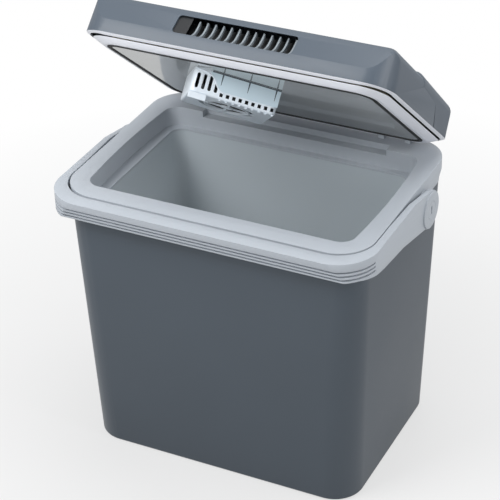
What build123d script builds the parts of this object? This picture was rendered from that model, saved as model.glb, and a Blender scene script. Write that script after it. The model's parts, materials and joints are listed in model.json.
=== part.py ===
"""Thermoelectric cool box with its cooling unit in the lid, swing-over handle folded to the front.

The origin is the centre of the box's footprint on the ground. +Z is up, the front faces -Y and +X is
right. Every lid piece is drawn with the lid shut and is then turned open about the hinge axis.
"""
import os
from math import cos, radians, sin, tan

from build123d import *

os.makedirs("parts", exist_ok=True)

# ---- Driving dimensions, millimetres -------------------------------------------------------------
# Cabinet
BASE_WIDTH = 359.0          # outside of the shell on the ground
BASE_DEPTH = 256.0
CORNER_RADIUS = 37.5        # vertical corners of the shell, the same at every height
DRAFT = 2.0                 # degrees, every wall of the shell and the liner leans out by this
SHELL_WALL = 2.5
SHELL_FLOOR = 4.0
SHELL_TOP = 334.0
FOOT_PROUD = 1.0            # the feet lift the shell off the ground by this
FOOT_RADIUS = 12.0
FOOT_SEAT = 2.0             # depth of a foot in its pocket
FOOT_INSET = 46.0           # foot centre from the sides of the footprint
RIM_INSET = 24.0            # standing rim from the sides of the footprint
RIM_WIDTH = 6.0
BOTTOM_FILLET = 3.0

# Collar
COLLAR_RISE = 31.0          # from the shell's rim to the top of the collar
COLLAR_SIDE_LAP = 4.0       # the collar stands this far outside the shell's rim at each side
COLLAR_FRONT_LAP = 1.0
COLLAR_BACK_LAP = 5.0
COLLAR_RADIUS = 45.0
COLLAR_WALL = 3.0
COLLAR_TUCK = 3.0           # the skirt draws in by this below the knee
COLLAR_KNEE = 15.0          # the knee lies this far below the top
RIM_SIDE = 25.7             # width of the rim beside the opening, at its corners
RIM_FRONT = 25.7
RIM_BACK = 42.3
OPENING_BOW = 5.3           # each side of the opening bows out by this
OPENING_RADIUS = 18.0
THROAT_DEPTH = 25.0         # from the top of the collar to its inner ledge
RECESS_WIDTH = 250.0        # lowered strip behind the opening
RECESS_DEPTH = 12.5
RECESS_DROP = 8.0
SNAP_WIDTH = 30.0
SNAP_DROP = 12.0

# Insulation and liner
LINER_WALL = 1.8
LINER_FLOOR = 46.0          # top of the liner's floor
LEDGE_SIDE = 9.0            # width of the collar's inner ledge at the sides
LEDGE_FRONT = 8.0           # and at the front and back
LINER_RADIUS = 16.0
LINER_LIP = 7.0             # flange of the liner below the collar's ledge
FOAM_HEADROOM = 16.0        # the foam stops this far below the shell's rim

# Lid hinge
HINGE_INSET = 11.6          # hinge axis in front of the back of the collar
HINGE_RISE = 7.5            # hinge axis above the top of the collar
HINGE_X = 125.0             # middle of each hinge from the centre line
HINGE_PIN_RADIUS = 2.5
PIN_HEAD_LIP = 1.5          # a pin's head is this much larger than its shaft
PIN_HEAD_THICK = 2.0
KNUCKLE_RADIUS = 5.6
KNUCKLE_LENGTH = 26.0
EAR_LENGTH = 7.6
SIDE_PLAY = 0.4             # end play between knuckle and ear
NOTCH_PLAY = 0.9            # room round the hinge in the frame and the rear cover
LID_OPEN = 40.0             # degrees, the lid stands open by this at rest

# Lid mouldings, drawn shut; heights are above the top of the collar
LID_WIDTH = 388.4
LID_FRONT = -130.7
LID_REAR_REACH = 6.2        # the back of the lid lies this far behind the hinge axis
LID_RADIUS = 33.0
LID_LEAN = 3.0              # the lid's front and sides lean in by this over its height
LID_WALL = 2.5
LID_EDGE = 10.0             # lower edge of the lid shell
LID_CREASE = 25.0           # the front face breaks back here
LID_BROW = 50.0             # the front face turns into the top here
BROW_RISE = 6.5             # the brow rounds up by this
LID_SHOULDER = 58.5         # top at the front
LID_TOP = 57.0              # top just before the rear cover
COVER_TOP = 60.0            # the rear cover's brow
COVER_BACK = 54.0           # top of the slope at the back
COVER_SLOPE = 23.5          # foot of the slope at the back
CREASE_STEP = 0.5           # the crease lies this far behind the lid's lower edge
BROW_STEP = 12.3            # the brow this far
BROW_ROUND = 6.0            # the brow rounds back by this
SHOULDER_STEP = 27.0        # and the shoulder this far
COVER_FRONT_Y = -1.5        # the rear cover begins here on top
COVER_STEP = 5.0            # length of the step up to the rear cover
COVER_SLOPE_RUN = 24.3      # the slope at the back is this deep
SEAM_TOP_Y = 48.5
SEAM_TOP = 36.0
SEAM_FOOT_Y = 56.5
SEAM_GAP = 0.3
SEAM_FLARE = 3.0            # the seam opens this much wider towards its foot
AIR_SLOT_COUNT = 22         # slots through the top of the rear cover
AIR_SLOT_PITCH = 9.0
AIR_SLOT_WIDTH = 4.0
AIR_SLOT_SHARE = 0.6        # of the flat part of the rear cover's top

# Lid frame, inner panel and seal, drawn shut
FRAME_FACE = 1.0            # lowest face of the frame above the collar
FRAME_FACE_WIDTH = 350.0
FRAME_FACE_FRONT = -113.5
FRAME_FACE_REACH = 1.5      # the face ends this far in front of the hinge axis
FRAME_FACE_RADIUS = 30.0
FRAME_PLATE = 3.0
FRAME_WINDOW_MARGIN = 9.0   # the frame plate laps the inner panel by this
PANEL_WIDTH = 329.0
PANEL_FRONT = -103.5
PANEL_BACK = 116.7
PANEL_RADIUS = 17.0
PANEL_THICK = 2.5
SEAL_WIDTH = 5.0
SEAL_CLEARANCE = 0.3

# Cooling unit, drawn shut and turned on the lid
UNIT_X = -37.0
UNIT_Y = -13.0
UNIT_TURN = 30.0            # degrees about the vertical
MODULE_SIDE = 40.0
MODULE_THICK = 4.0
CHASSIS_RISE = 15.0         # underside of the chassis plate above the frame's face
CHASSIS_THICK = 2.0
CHASSIS_WIDTH = 340.0
CHASSIS_FRONT = -98.5
CHASSIS_BACK = 113.5
POST_RADIUS = 4.0
POST_BORE = 1.6
POST_X = 160.0
POST_INSET = 10.0           # posts from the front and back of the chassis
SINK_BASE = 4.0
HOT_SINK_WIDTH = 100.0
HOT_SINK_DEPTH = 90.0
HOT_FIN_HEIGHT = 13.0
COLD_SINK_WIDTH = 84.0
COLD_SINK_DEPTH = 80.0
COLD_FIN_HEIGHT = 12.0
FIN_THICK = 1.2
FIN_PITCH = 6.0
FAN_SIDE = 80.0
FAN_RADIUS = 4.0            # corners of the fan's frame
FAN_HOLE_INSET = 4.0        # screw holes from the sides of the frame
FAN_THICK = 10.0
FAN_DUCT = 37.0             # radius of the air duct
FAN_ARM = 4.0               # width of the arms that hold the hub
FAN_HUB = 13.0
FAN_SPINDLE = 1.5
FAN_RUNNING_GAP = 0.05
FAN_END_GAP = 1.0           # between the hub and the fan's ends
BLADE_TIP_GAP = 1.5
FAN_PLATE = 2.0
BLADE_COUNT = 7
BLADE_CHORD = 9.0
BLADE_PITCH = 32.0          # degrees
BLADE_THICK = 1.2

# Cover over the cold fan
COVER_WIDTH = 104.0
COVER_DEPTH = 100.0
COVER_HEIGHT = 30.0
COVER_RADIUS = 7.0
COVER_FILLET = 3.0
COVER_WALL = 2.0
COVER_SLOT_START = 6.5      # middle of the first slot from the left end
COVER_SLOT_WIDTH = 4.0
COVER_SLOT_PITCH = 7.7
COVER_SLOT_HEIGHT = 18.0
COVER_TALL_SLOTS = 4
COVER_SMALL_SLOTS = 9
COVER_SMALL_HEIGHT = 4.5
COVER_SMALL_DROP = 5.5      # middle of a small slot from the foot of the cover
GRILLE_RADIUS = 34.0
GRILLE_RINGS = 4
GRILLE_BAR = 2.4

# Front vent
VENT_LEFT = -76.0
VENT_RIGHT = 74.0
VENT_FOOT = 25.0            # above the collar
VENT_HEAD = 48.5
VENT_RADIUS = 4.5
VENT_LAP = 4.0              # the grille laps the mouth by this
SLAT_COUNT = 13
SLAT_PITCH = 10.0
SLAT_THICK = 2.0
SLAT_DEPTH = 10.0

# Electrics, drawn shut
BOARD_WIDTH = 95.0
BOARD_DEPTH = 70.0
BOARD_X = 100.0
BOARD_Y = 54.5
BOARD_THICK = 1.6
BOARD_STANDOFF = 4.0
BOARD_HOLE_INSET = 6.0
TRANSFORMER_X = -18.0       # from the middle of the board
CORE_WIDTH = 36.0
CORE_DEPTH = 30.0
CORE_HEIGHT = 19.0
COIL_WIDTH = 22.0
COIL_HEIGHT = 17.0
COIL_LENGTH = 44.0
CAPACITOR_X = 24.0          # middle of the group from the middle of the board
CAPACITOR_RADIUS = 5.0
CAPACITOR_HEIGHT = 16.0
SOCKET_RISE = 6.2           # middle of the sockets above the lid's lower edge
SOCKET_HEIGHT = 9.0
SOCKET_LENGTH = 12.0
SOCKET_FLANGE = 2.0         # thickness of a flange, and twice what it laps above and below
DC_SOCKET_X = 42.0
DC_SOCKET_WIDTH = 14.0
DC_BORE = 3.2
DC_PIN = 1.0
MAINS_SOCKET_X = -46.0
MAINS_SOCKET_WIDTH = 24.0
MAINS_BORE = 3.5
MAINS_BORE_X = 3.8
MAINS_PIN = 1.2
LAMP_X = (20.0, 27.0)
LAMP_RADIUS = 2.0
LAMP_PROUD = 0.5
SWITCH_TRAVEL = 6.0
SWITCH_CAP_WIDTH = 8.0
SWITCH_CAP_HEIGHT = 4.6
SWITCH_PROUD = 1.3
SWITCH_BODY_DEPTH = 9.0
SLIDE_THICK = 2.4
FIT = 0.2                   # clearance of a piece in its cut-out

# Carrying handle
PIVOT_Y = 44.0
PIVOT_DROP = 33.0           # pivot below the top of the collar
PIVOT_PIN_RADIUS = 6.0
PIVOT_RUNNING_GAP = 0.05
PIVOT_HEAD_RADIUS = 11.0
PIVOT_HEAD_THICK = 3.0
PIVOT_SLOT_LENGTH = 12.0
PIVOT_SLOT_WIDTH = 2.5
LUG_RADIUS = 22.0
LUG_PROUD = 3.5             # the pivot lug stands this far outside the collar
LUG_PLAY = 1.0              # between the lug and the handle's eye
HANDLE_EYE_RADIUS = 24.0
HANDLE_EYE_THICK = 8.0
HANDLE_EYE_PROUD = 2.0      # the eye stands this far outside the arm
HANDLE_SIDE_GAP = 1.5       # between the handle's arm and the collar
HANDLE_FRONT_GAP = 4.0      # between the handle's bar and the collar
HANDLE_BAR_DEPTH = 18.9
HANDLE_BAR_DROP = 25.0      # the bar's foot below the top of the collar
HANDLE_BAR_LEAN = 7.0       # the bar's foot stands this far behind its top edge
HANDLE_RADIUS = 50.0
HANDLE_WALL = 3.0
ARM_BEND_Y = -97.0
ARM_BEND_DROP = 33.0
ARM_MIDDLE_Y = -39.0
ARM_MIDDLE_DROP = 38.5
ARM_TOP_RUN = 50.0          # the arm comes level with the collar this far in front of the pivot
GROOVE_COUNT = 3
GROOVE_HEIGHT = 2.4
GROOVE_DEPTH = 3.5
GROOVE_PITCH = 5.0
GROOVE_DROP = 11.5          # middle of the highest groove below the top of the collar
GROOVE_END_Y = -121.5       # the grooves run out in the corners here

# ---- Values worked out from them -----------------------------------------------------------------
LEAN = tan(radians(DRAFT))
SHELL_FOOT = FOOT_PROUD
INNER_FLOOR = SHELL_FOOT + SHELL_FLOOR
RIM_HALF_WIDTH = BASE_WIDTH / 2 + (SHELL_TOP - SHELL_FOOT) * LEAN
RIM_HALF_DEPTH = BASE_DEPTH / 2 + (SHELL_TOP - SHELL_FOOT) * LEAN
COLLAR_TOP = SHELL_TOP + COLLAR_RISE
COLLAR_HALF_WIDTH = RIM_HALF_WIDTH + COLLAR_SIDE_LAP
COLLAR_FRONT = -RIM_HALF_DEPTH - COLLAR_FRONT_LAP
COLLAR_REAR = RIM_HALF_DEPTH + COLLAR_BACK_LAP
KNEE_Z = COLLAR_TOP - COLLAR_KNEE
OPENING_HALF_WIDTH = COLLAR_HALF_WIDTH - RIM_SIDE
OPENING_FRONT = COLLAR_FRONT + RIM_FRONT
OPENING_BACK = COLLAR_REAR - RIM_BACK
SHELF_TOP = SHELL_TOP + COLLAR_WALL
LEDGE_Z = COLLAR_TOP - THROAT_DEPTH
LEDGE_FOOT = LEDGE_Z - COLLAR_WALL
HINGE_Y = COLLAR_REAR - HINGE_INSET
HINGE_Z = COLLAR_TOP + HINGE_RISE
HINGE_AXIS = Axis((0, HINGE_Y, HINGE_Z), (1, 0, 0))
PIN_INNER = HINGE_X - KNUCKLE_LENGTH / 2 - SIDE_PLAY - EAR_LENGTH - 1
PIN_OUTER = HINGE_X + KNUCKLE_LENGTH / 2 + SIDE_PLAY + EAR_LENGTH + FIT
LID_BACK = HINGE_Y + LID_REAR_REACH
LID_INNER_BACK = LID_BACK - LID_WALL
LID_EDGE_Z = COLLAR_TOP + LID_EDGE
COVER_TOP_Z = COLLAR_TOP + COVER_TOP
FRAME_FACE_Z = COLLAR_TOP + FRAME_FACE
PLATE_Z = FRAME_FACE_Z + PANEL_THICK
PLATE_TOP = PLATE_Z + FRAME_PLATE
CHASSIS_Z = FRAME_FACE_Z + CHASSIS_RISE
CHASSIS_TOP = CHASSIS_Z + CHASSIS_THICK
HOT_FAN_Z = CHASSIS_TOP + SINK_BASE + HOT_FIN_HEIGHT
COLD_FAN_Z = FRAME_FACE_Z - SINK_BASE - COLD_FIN_HEIGHT
BOARD_Z = CHASSIS_TOP + BOARD_STANDOFF
SOCKET_Z = LID_EDGE_Z + SOCKET_RISE
PIVOT_Z = COLLAR_TOP - PIVOT_DROP
LUG_FACE_X = COLLAR_HALF_WIDTH + LUG_PROUD
EYE_INNER_X = LUG_FACE_X + LUG_PLAY
HANDLE_EYE_X = EYE_INNER_X + HANDLE_EYE_THICK
HANDLE_HALF_WIDTH = HANDLE_EYE_X - HANDLE_EYE_PROUD
HANDLE_INNER_FRONT = COLLAR_FRONT - HANDLE_FRONT_GAP
HANDLE_FRONT = HANDLE_INNER_FRONT - HANDLE_BAR_DEPTH
BAR_FOOT_Z = COLLAR_TOP - HANDLE_BAR_DROP


# ---- Helpers -------------------------------------------------------------------------------------
def plate(z, width, front, back, radius):
    """A rounded rectangle at height z, centred left to right, between a front and a back."""
    with BuildSketch(Plane((0, (front + back) / 2, z))) as outline:
        RectangleRounded(width, back - front, radius)
    return outline.sketch


def shell_plate(z, inset):
    """The shell's outline at height z, drawn in by inset."""
    spread = (z - SHELL_FOOT) * LEAN - inset
    half_depth = BASE_DEPTH / 2 + spread
    return plate(z, BASE_WIDTH + 2 * spread, -half_depth, half_depth, CORNER_RADIUS - inset)


def shell_block(foot_z, top_z, inset):
    """The shell's form between two heights, drawn in by inset."""
    with BuildPart() as block:
        loft([shell_plate(foot_z, inset).face(), shell_plate(top_z, inset).face()], ruled=True)
    return block.part


def liner_plate(z, outset):
    """The liner's inside outline at height z, drawn out by outset."""
    spread = outset - (LEDGE_FOOT - z) * LEAN
    return plate(z, 2 * (OPENING_HALF_WIDTH - LEDGE_SIDE + spread), OPENING_FRONT + LEDGE_FRONT - spread,
                 OPENING_BACK - LEDGE_FRONT + spread, LINER_RADIUS + outset)


def liner_block(foot_z, top_z, outset):
    """The liner's form between two heights, drawn out by outset."""
    with BuildPart() as block:
        loft([liner_plate(foot_z, outset).face(), liner_plate(top_z, outset).face()], ruled=True)
    return block.part


def collar_plate(z, inset):
    """The collar's outline at height z, drawn in by inset."""
    return plate(z, 2 * (COLLAR_HALF_WIDTH - inset), COLLAR_FRONT + inset, COLLAR_REAR - inset,
                 COLLAR_RADIUS - inset)


def tucked_plate(inset):
    """The collar's outline at the foot of its skirt, where the sides draw in."""
    return plate(SHELF_TOP, 2 * (COLLAR_HALF_WIDTH - COLLAR_TUCK - inset), COLLAR_FRONT + inset,
                 COLLAR_REAR - inset, COLLAR_RADIUS - inset)


def opening_plate(z, outset):
    """The collar's opening at height z, drawn out by outset; its two sides bow outwards."""
    half = OPENING_HALF_WIDTH + outset
    front, back = OPENING_FRONT - outset, OPENING_BACK + outset
    with BuildSketch(Plane.XY.offset(z)) as outline:
        with BuildLine():
            Line((-half, front), (half, front))
            ThreePointArc((half, front), (half + OPENING_BOW, (front + back) / 2), (half, back))
            Line((half, back), (-half, back))
            ThreePointArc((-half, back), (-half - OPENING_BOW, (front + back) / 2), (-half, front))
        make_face()
        fillet(outline.vertices(), OPENING_RADIUS + outset)
    return outline.sketch


def side_plane(x, y, z, side=1):
    """A plane across the width at a point, facing right or left."""
    return Plane(origin=(x, y, z), x_dir=(0, side, 0), z_dir=(side, 0, 0))


def rear_plane(x, y, z=SOCKET_Z, way=-1):
    """An upright plane at the back of the lid, facing inwards or outwards."""
    return Plane(origin=(x, y, z), x_dir=(1, 0, 0), z_dir=(0, way, 0))


def unit_plane(z, up=1):
    """A plane turned with the cooling unit at height z, facing up or down."""
    turn = radians(UNIT_TURN)
    return Plane(origin=(UNIT_X, UNIT_Y, z), x_dir=(cos(turn), sin(turn), 0), z_dir=(0, 0, up))


def opened(piece):
    """A lid piece turned from shut to its rest, standing open."""
    return piece.rotate(HINGE_AXIS, -LID_OPEN)


def lid_form(inset):
    """The form of the lid above its lower edge, drawn in by inset on every face but the lowest."""
    with BuildPart() as form:
        with BuildSketch(Plane.YZ):
            with BuildLine():
                Polyline((LID_FRONT, LID_EDGE_Z), (LID_FRONT + CREASE_STEP, COLLAR_TOP + LID_CREASE),
                         (LID_FRONT + BROW_STEP, COLLAR_TOP + LID_BROW),
                         (LID_FRONT + BROW_STEP + BROW_ROUND, COLLAR_TOP + LID_BROW + BROW_RISE),
                         (LID_FRONT + SHOULDER_STEP, COLLAR_TOP + LID_SHOULDER),
                         (COVER_FRONT_Y - COVER_STEP, COLLAR_TOP + LID_TOP), (COVER_FRONT_Y, COVER_TOP_Z),
                         (LID_BACK - COVER_SLOPE_RUN, COLLAR_TOP + COVER_BACK),
                         (LID_BACK, COLLAR_TOP + COVER_SLOPE), (LID_BACK, LID_EDGE_Z), close=True)
            make_face()
            if inset:
                offset(amount=-inset, kind=Kind.INTERSECTION)
        extrude(amount=LID_WIDTH, both=True)
        loft([plate(LID_EDGE_Z, LID_WIDTH - 2 * inset, LID_FRONT + inset, LID_BACK - inset,
                    LID_RADIUS - inset).face(),
              plate(COVER_TOP_Z, LID_WIDTH - 2 * inset - 2 * LID_LEAN, LID_FRONT + inset + LID_LEAN,
                    LID_BACK - inset, LID_RADIUS - inset - LID_LEAN).face()],
             ruled=True, mode=Mode.INTERSECT)
        if inset:
            lowest = form.faces().sort_by(Axis.Z)[0]
            extrude(lowest, amount=inset + 1)
    return form.part


def cover_region(gap, flare=0.0):
    """Everything behind the seam between the lid shell and its rear cover."""
    seam_y = COVER_FRONT_Y - COVER_STEP + 1 + gap
    foot_y = SEAM_FOOT_Y + gap + flare
    above, below, behind = COVER_TOP_Z + LID_WALL, LID_EDGE_Z - 1, LID_BACK + LID_WALL
    with BuildPart() as region:
        with BuildSketch(Plane.YZ):
            with BuildLine():
                Polyline((seam_y, above), (seam_y, COLLAR_TOP + LID_TOP - 2 * LID_WALL),
                         (SEAM_TOP_Y + gap, COLLAR_TOP + SEAM_TOP), (foot_y, below),
                         (behind, below), (behind, above), close=True)
            make_face()
        extrude(amount=LID_WIDTH, both=True)
    return region.part


def hinge_room():
    """The space round both hinges that the frame and the rear cover leave free."""
    room_front = HINGE_Y - KNUCKLE_RADIUS - 2 * NOTCH_PLAY
    room_back = LID_BACK + LID_WALL
    room_foot = FRAME_FACE_Z - 1
    inner, outer = PIN_INNER - 1, PIN_OUTER + PIN_HEAD_THICK + 1
    with BuildPart() as room:
        with BuildSketch(Plane((0, (room_front + room_back) / 2, room_foot))):
            with Locations(((inner + outer) / 2, 0), (-(inner + outer) / 2, 0)):
                Rectangle(outer - inner, room_back - room_front)
        extrude(amount=HINGE_Z + KNUCKLE_RADIUS + NOTCH_PLAY - room_foot)
    return room.part


# ---- Cabinet -------------------------------------------------------------------------------------
foot_spots = GridLocations(BASE_WIDTH - 2 * FOOT_INSET, BASE_DEPTH - 2 * FOOT_INSET, 2, 2)

# Outer shell: one deep drafted tub, open at the top, with a standing rim and a pocket for each foot.
with BuildPart() as outer_shell:
    add(shell_block(SHELL_FOOT, SHELL_TOP, 0))
    fillet(outer_shell.edges().group_by(Axis.Z)[0], BOTTOM_FILLET)
    add(shell_block(INNER_FLOOR, SHELL_TOP, SHELL_WALL), mode=Mode.SUBTRACT)
    with BuildSketch(Plane.XY.offset(SHELL_FOOT)):
        add(shell_plate(SHELL_FOOT, RIM_INSET))
        add(shell_plate(SHELL_FOOT, RIM_INSET + RIM_WIDTH), mode=Mode.SUBTRACT)
    extrude(amount=-FOOT_PROUD)
    with BuildSketch(Plane.XY.offset(SHELL_FOOT)):
        with foot_spots:
            Circle(FOOT_RADIUS + FIT)
    extrude(amount=FOOT_SEAT, mode=Mode.SUBTRACT)
outer_shell.part.label = "outer_shell"
export_step(outer_shell.part, "parts/outer_shell.step")

# Feet: four soft discs seated in the shell's floor.
with BuildPart() as foot_pads:
    with BuildSketch(Plane.XY):
        with foot_spots:
            Circle(FOOT_RADIUS)
    extrude(amount=FOOT_PROUD + FOOT_SEAT)
foot_pads.part.label = "foot_pads"
export_step(foot_pads.part, "parts/foot_pads.step")

# Liner: the food compartment, hung by its lip below the collar's ledge.
with BuildPart() as inner_liner:
    liner_foot = LINER_FLOOR - LINER_WALL
    add(liner_block(liner_foot, LEDGE_FOOT, LINER_WALL))
    extrude(liner_plate(LEDGE_FOOT - LINER_WALL, LINER_LIP), amount=LINER_WALL)
    add(liner_block(LINER_FLOOR, LEDGE_FOOT, 0), mode=Mode.SUBTRACT)
inner_liner.part.label = "inner_liner"
export_step(inner_liner.part, "parts/inner_liner.step")

# Foam: fills the space between shell and liner.
with BuildPart() as body_foam:
    foam_top = SHELL_TOP - FOAM_HEADROOM
    add(shell_block(INNER_FLOOR + FIT, foam_top, SHELL_WALL + FIT))
    add(liner_block(LINER_FLOOR - LINER_WALL - FIT, foam_top, LINER_WALL + FIT), mode=Mode.SUBTRACT)
body_foam.part.label = "body_foam"
export_step(body_foam.part, "parts/body_foam.step")

# Collar: rim, skirt, shelf on the shell, throat and ledge, hinge ears and pivot lugs in one moulding.
ear_centres = [side * (HINGE_X + way * (KNUCKLE_LENGTH / 2 + SIDE_PLAY + EAR_LENGTH / 2))
               for side in (-1, 1) for way in (-1, 1)]
with BuildPart() as collar:
    extrude(collar_plate(KNEE_Z, 0), amount=COLLAR_KNEE)
    loft([tucked_plate(0).face(), collar_plate(KNEE_Z, 0).face()], ruled=True)
    extrude(collar_plate(KNEE_Z, COLLAR_WALL), amount=COLLAR_KNEE - COLLAR_WALL, mode=Mode.SUBTRACT)
    loft([tucked_plate(COLLAR_WALL).face(), collar_plate(KNEE_Z, COLLAR_WALL).face()], ruled=True,
         mode=Mode.SUBTRACT)
    # shelf on the shell's rim
    extrude(shell_plate(SHELL_TOP, 0), amount=COLLAR_WALL)
    extrude(tucked_plate(0), amount=-COLLAR_WALL)
    # throat, ledge and the block that carries the lowered strip
    extrude(opening_plate(LEDGE_FOOT, COLLAR_WALL), amount=THROAT_DEPTH)
    with BuildSketch(Plane((0, OPENING_BACK + (RECESS_DEPTH + COLLAR_WALL) / 2, COLLAR_TOP))):
        Rectangle(RECESS_WIDTH + 2 * COLLAR_WALL, RECESS_DEPTH + COLLAR_WALL)
    extrude(amount=-RECESS_DROP - COLLAR_WALL)
    # pivot lugs
    for side in (-1, 1):
        lug_root = COLLAR_HALF_WIDTH - COLLAR_TUCK
        with BuildSketch(side_plane(side * lug_root, PIVOT_Y, PIVOT_Z, side)):
            Circle(LUG_RADIUS)
        extrude(amount=LUG_FACE_X - lug_root)
    # hinge ears
    for centre in ear_centres:
        with BuildSketch(side_plane(centre, HINGE_Y, HINGE_Z)):
            Circle(KNUCKLE_RADIUS)
            with Locations((0, (COLLAR_TOP - HINGE_Z) / 2 - 1)):
                Rectangle(2 * KNUCKLE_RADIUS, HINGE_Z - COLLAR_TOP + 2)
        extrude(amount=EAR_LENGTH / 2, both=True)
    # snap tabs inside the shell
    tab_inset = SHELL_WALL + FIT + COLLAR_WALL / 2 + SNAP_DROP * LEAN
    tab_x, tab_y = RIM_HALF_WIDTH - tab_inset, RIM_HALF_DEPTH - tab_inset
    with BuildSketch(Plane.XY.offset(SHELL_TOP)):
        with GridLocations(2 * tab_x, BASE_DEPTH / 2, 2, 2):
            Rectangle(COLLAR_WALL, SNAP_WIDTH)
        with GridLocations(BASE_WIDTH / 2, 2 * tab_y, 2, 2):
            Rectangle(SNAP_WIDTH, COLLAR_WALL)
    extrude(amount=-SNAP_DROP)
    # openings
    extrude(opening_plate(LEDGE_Z, 0), amount=THROAT_DEPTH, mode=Mode.SUBTRACT)
    extrude(liner_plate(LEDGE_FOOT, 0), amount=COLLAR_WALL, mode=Mode.SUBTRACT)
    extrude(opening_plate(SHELL_TOP, 0), amount=LEDGE_FOOT - SHELL_TOP, mode=Mode.SUBTRACT)
    with BuildSketch(Plane((0, OPENING_BACK, COLLAR_TOP))):
        Rectangle(RECESS_WIDTH, 2 * RECESS_DEPTH)
    extrude(amount=-RECESS_DROP, mode=Mode.SUBTRACT)
    with BuildSketch(side_plane(0, PIVOT_Y, PIVOT_Z)):
        Circle(PIVOT_PIN_RADIUS + PIVOT_RUNNING_GAP)
    extrude(amount=LUG_FACE_X + 1, both=True, mode=Mode.SUBTRACT)
    with BuildSketch(side_plane(0, HINGE_Y, HINGE_Z)):
        Circle(HINGE_PIN_RADIUS + PIVOT_RUNNING_GAP)
    extrude(amount=COLLAR_HALF_WIDTH, both=True, mode=Mode.SUBTRACT)
collar.part.label = "collar"
export_step(collar.part, "parts/collar.step")

# Hinge pins: plain pins with a head at the outer end.
with BuildPart() as hinge_pins:
    for side in (-1, 1):
        with BuildSketch(side_plane(side * PIN_INNER, HINGE_Y, HINGE_Z, side)):
            Circle(HINGE_PIN_RADIUS)
        extrude(amount=PIN_OUTER - PIN_INNER)
        with BuildSketch(side_plane(side * PIN_OUTER, HINGE_Y, HINGE_Z, side)):
            Circle(HINGE_PIN_RADIUS + PIN_HEAD_LIP)
        extrude(amount=PIN_HEAD_THICK)
hinge_pins.part.label = "hinge_pins"
export_step(hinge_pins.part, "parts/hinge_pins.step")

# ---- Carrying handle -----------------------------------------------------------------------------
# Pivot pins: a headed pin on each side, free to turn both in the lug and in the handle's eye.
pin_root = COLLAR_HALF_WIDTH - COLLAR_TUCK + 1
head_root = HANDLE_EYE_X - PIVOT_HEAD_THICK
with BuildPart() as pivot_pins:
    for side in (-1, 1):
        with BuildSketch(side_plane(side * pin_root, PIVOT_Y, PIVOT_Z, side)):
            Circle(PIVOT_PIN_RADIUS)
        extrude(amount=head_root - pin_root)
        with BuildSketch(side_plane(side * head_root, PIVOT_Y, PIVOT_Z, side)):
            Circle(PIVOT_HEAD_RADIUS)
        extrude(amount=PIVOT_HEAD_THICK)
        with BuildSketch(side_plane(side * HANDLE_EYE_X, PIVOT_Y, PIVOT_Z, side)):
            SlotOverall(PIVOT_SLOT_LENGTH, PIVOT_SLOT_WIDTH, rotation=90)
        extrude(amount=-PIVOT_HEAD_THICK / 2, mode=Mode.SUBTRACT)
pivot_pins.part.label = "pivot_pins"
export_step(pivot_pins.part, "parts/pivot_pins.step")

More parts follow.
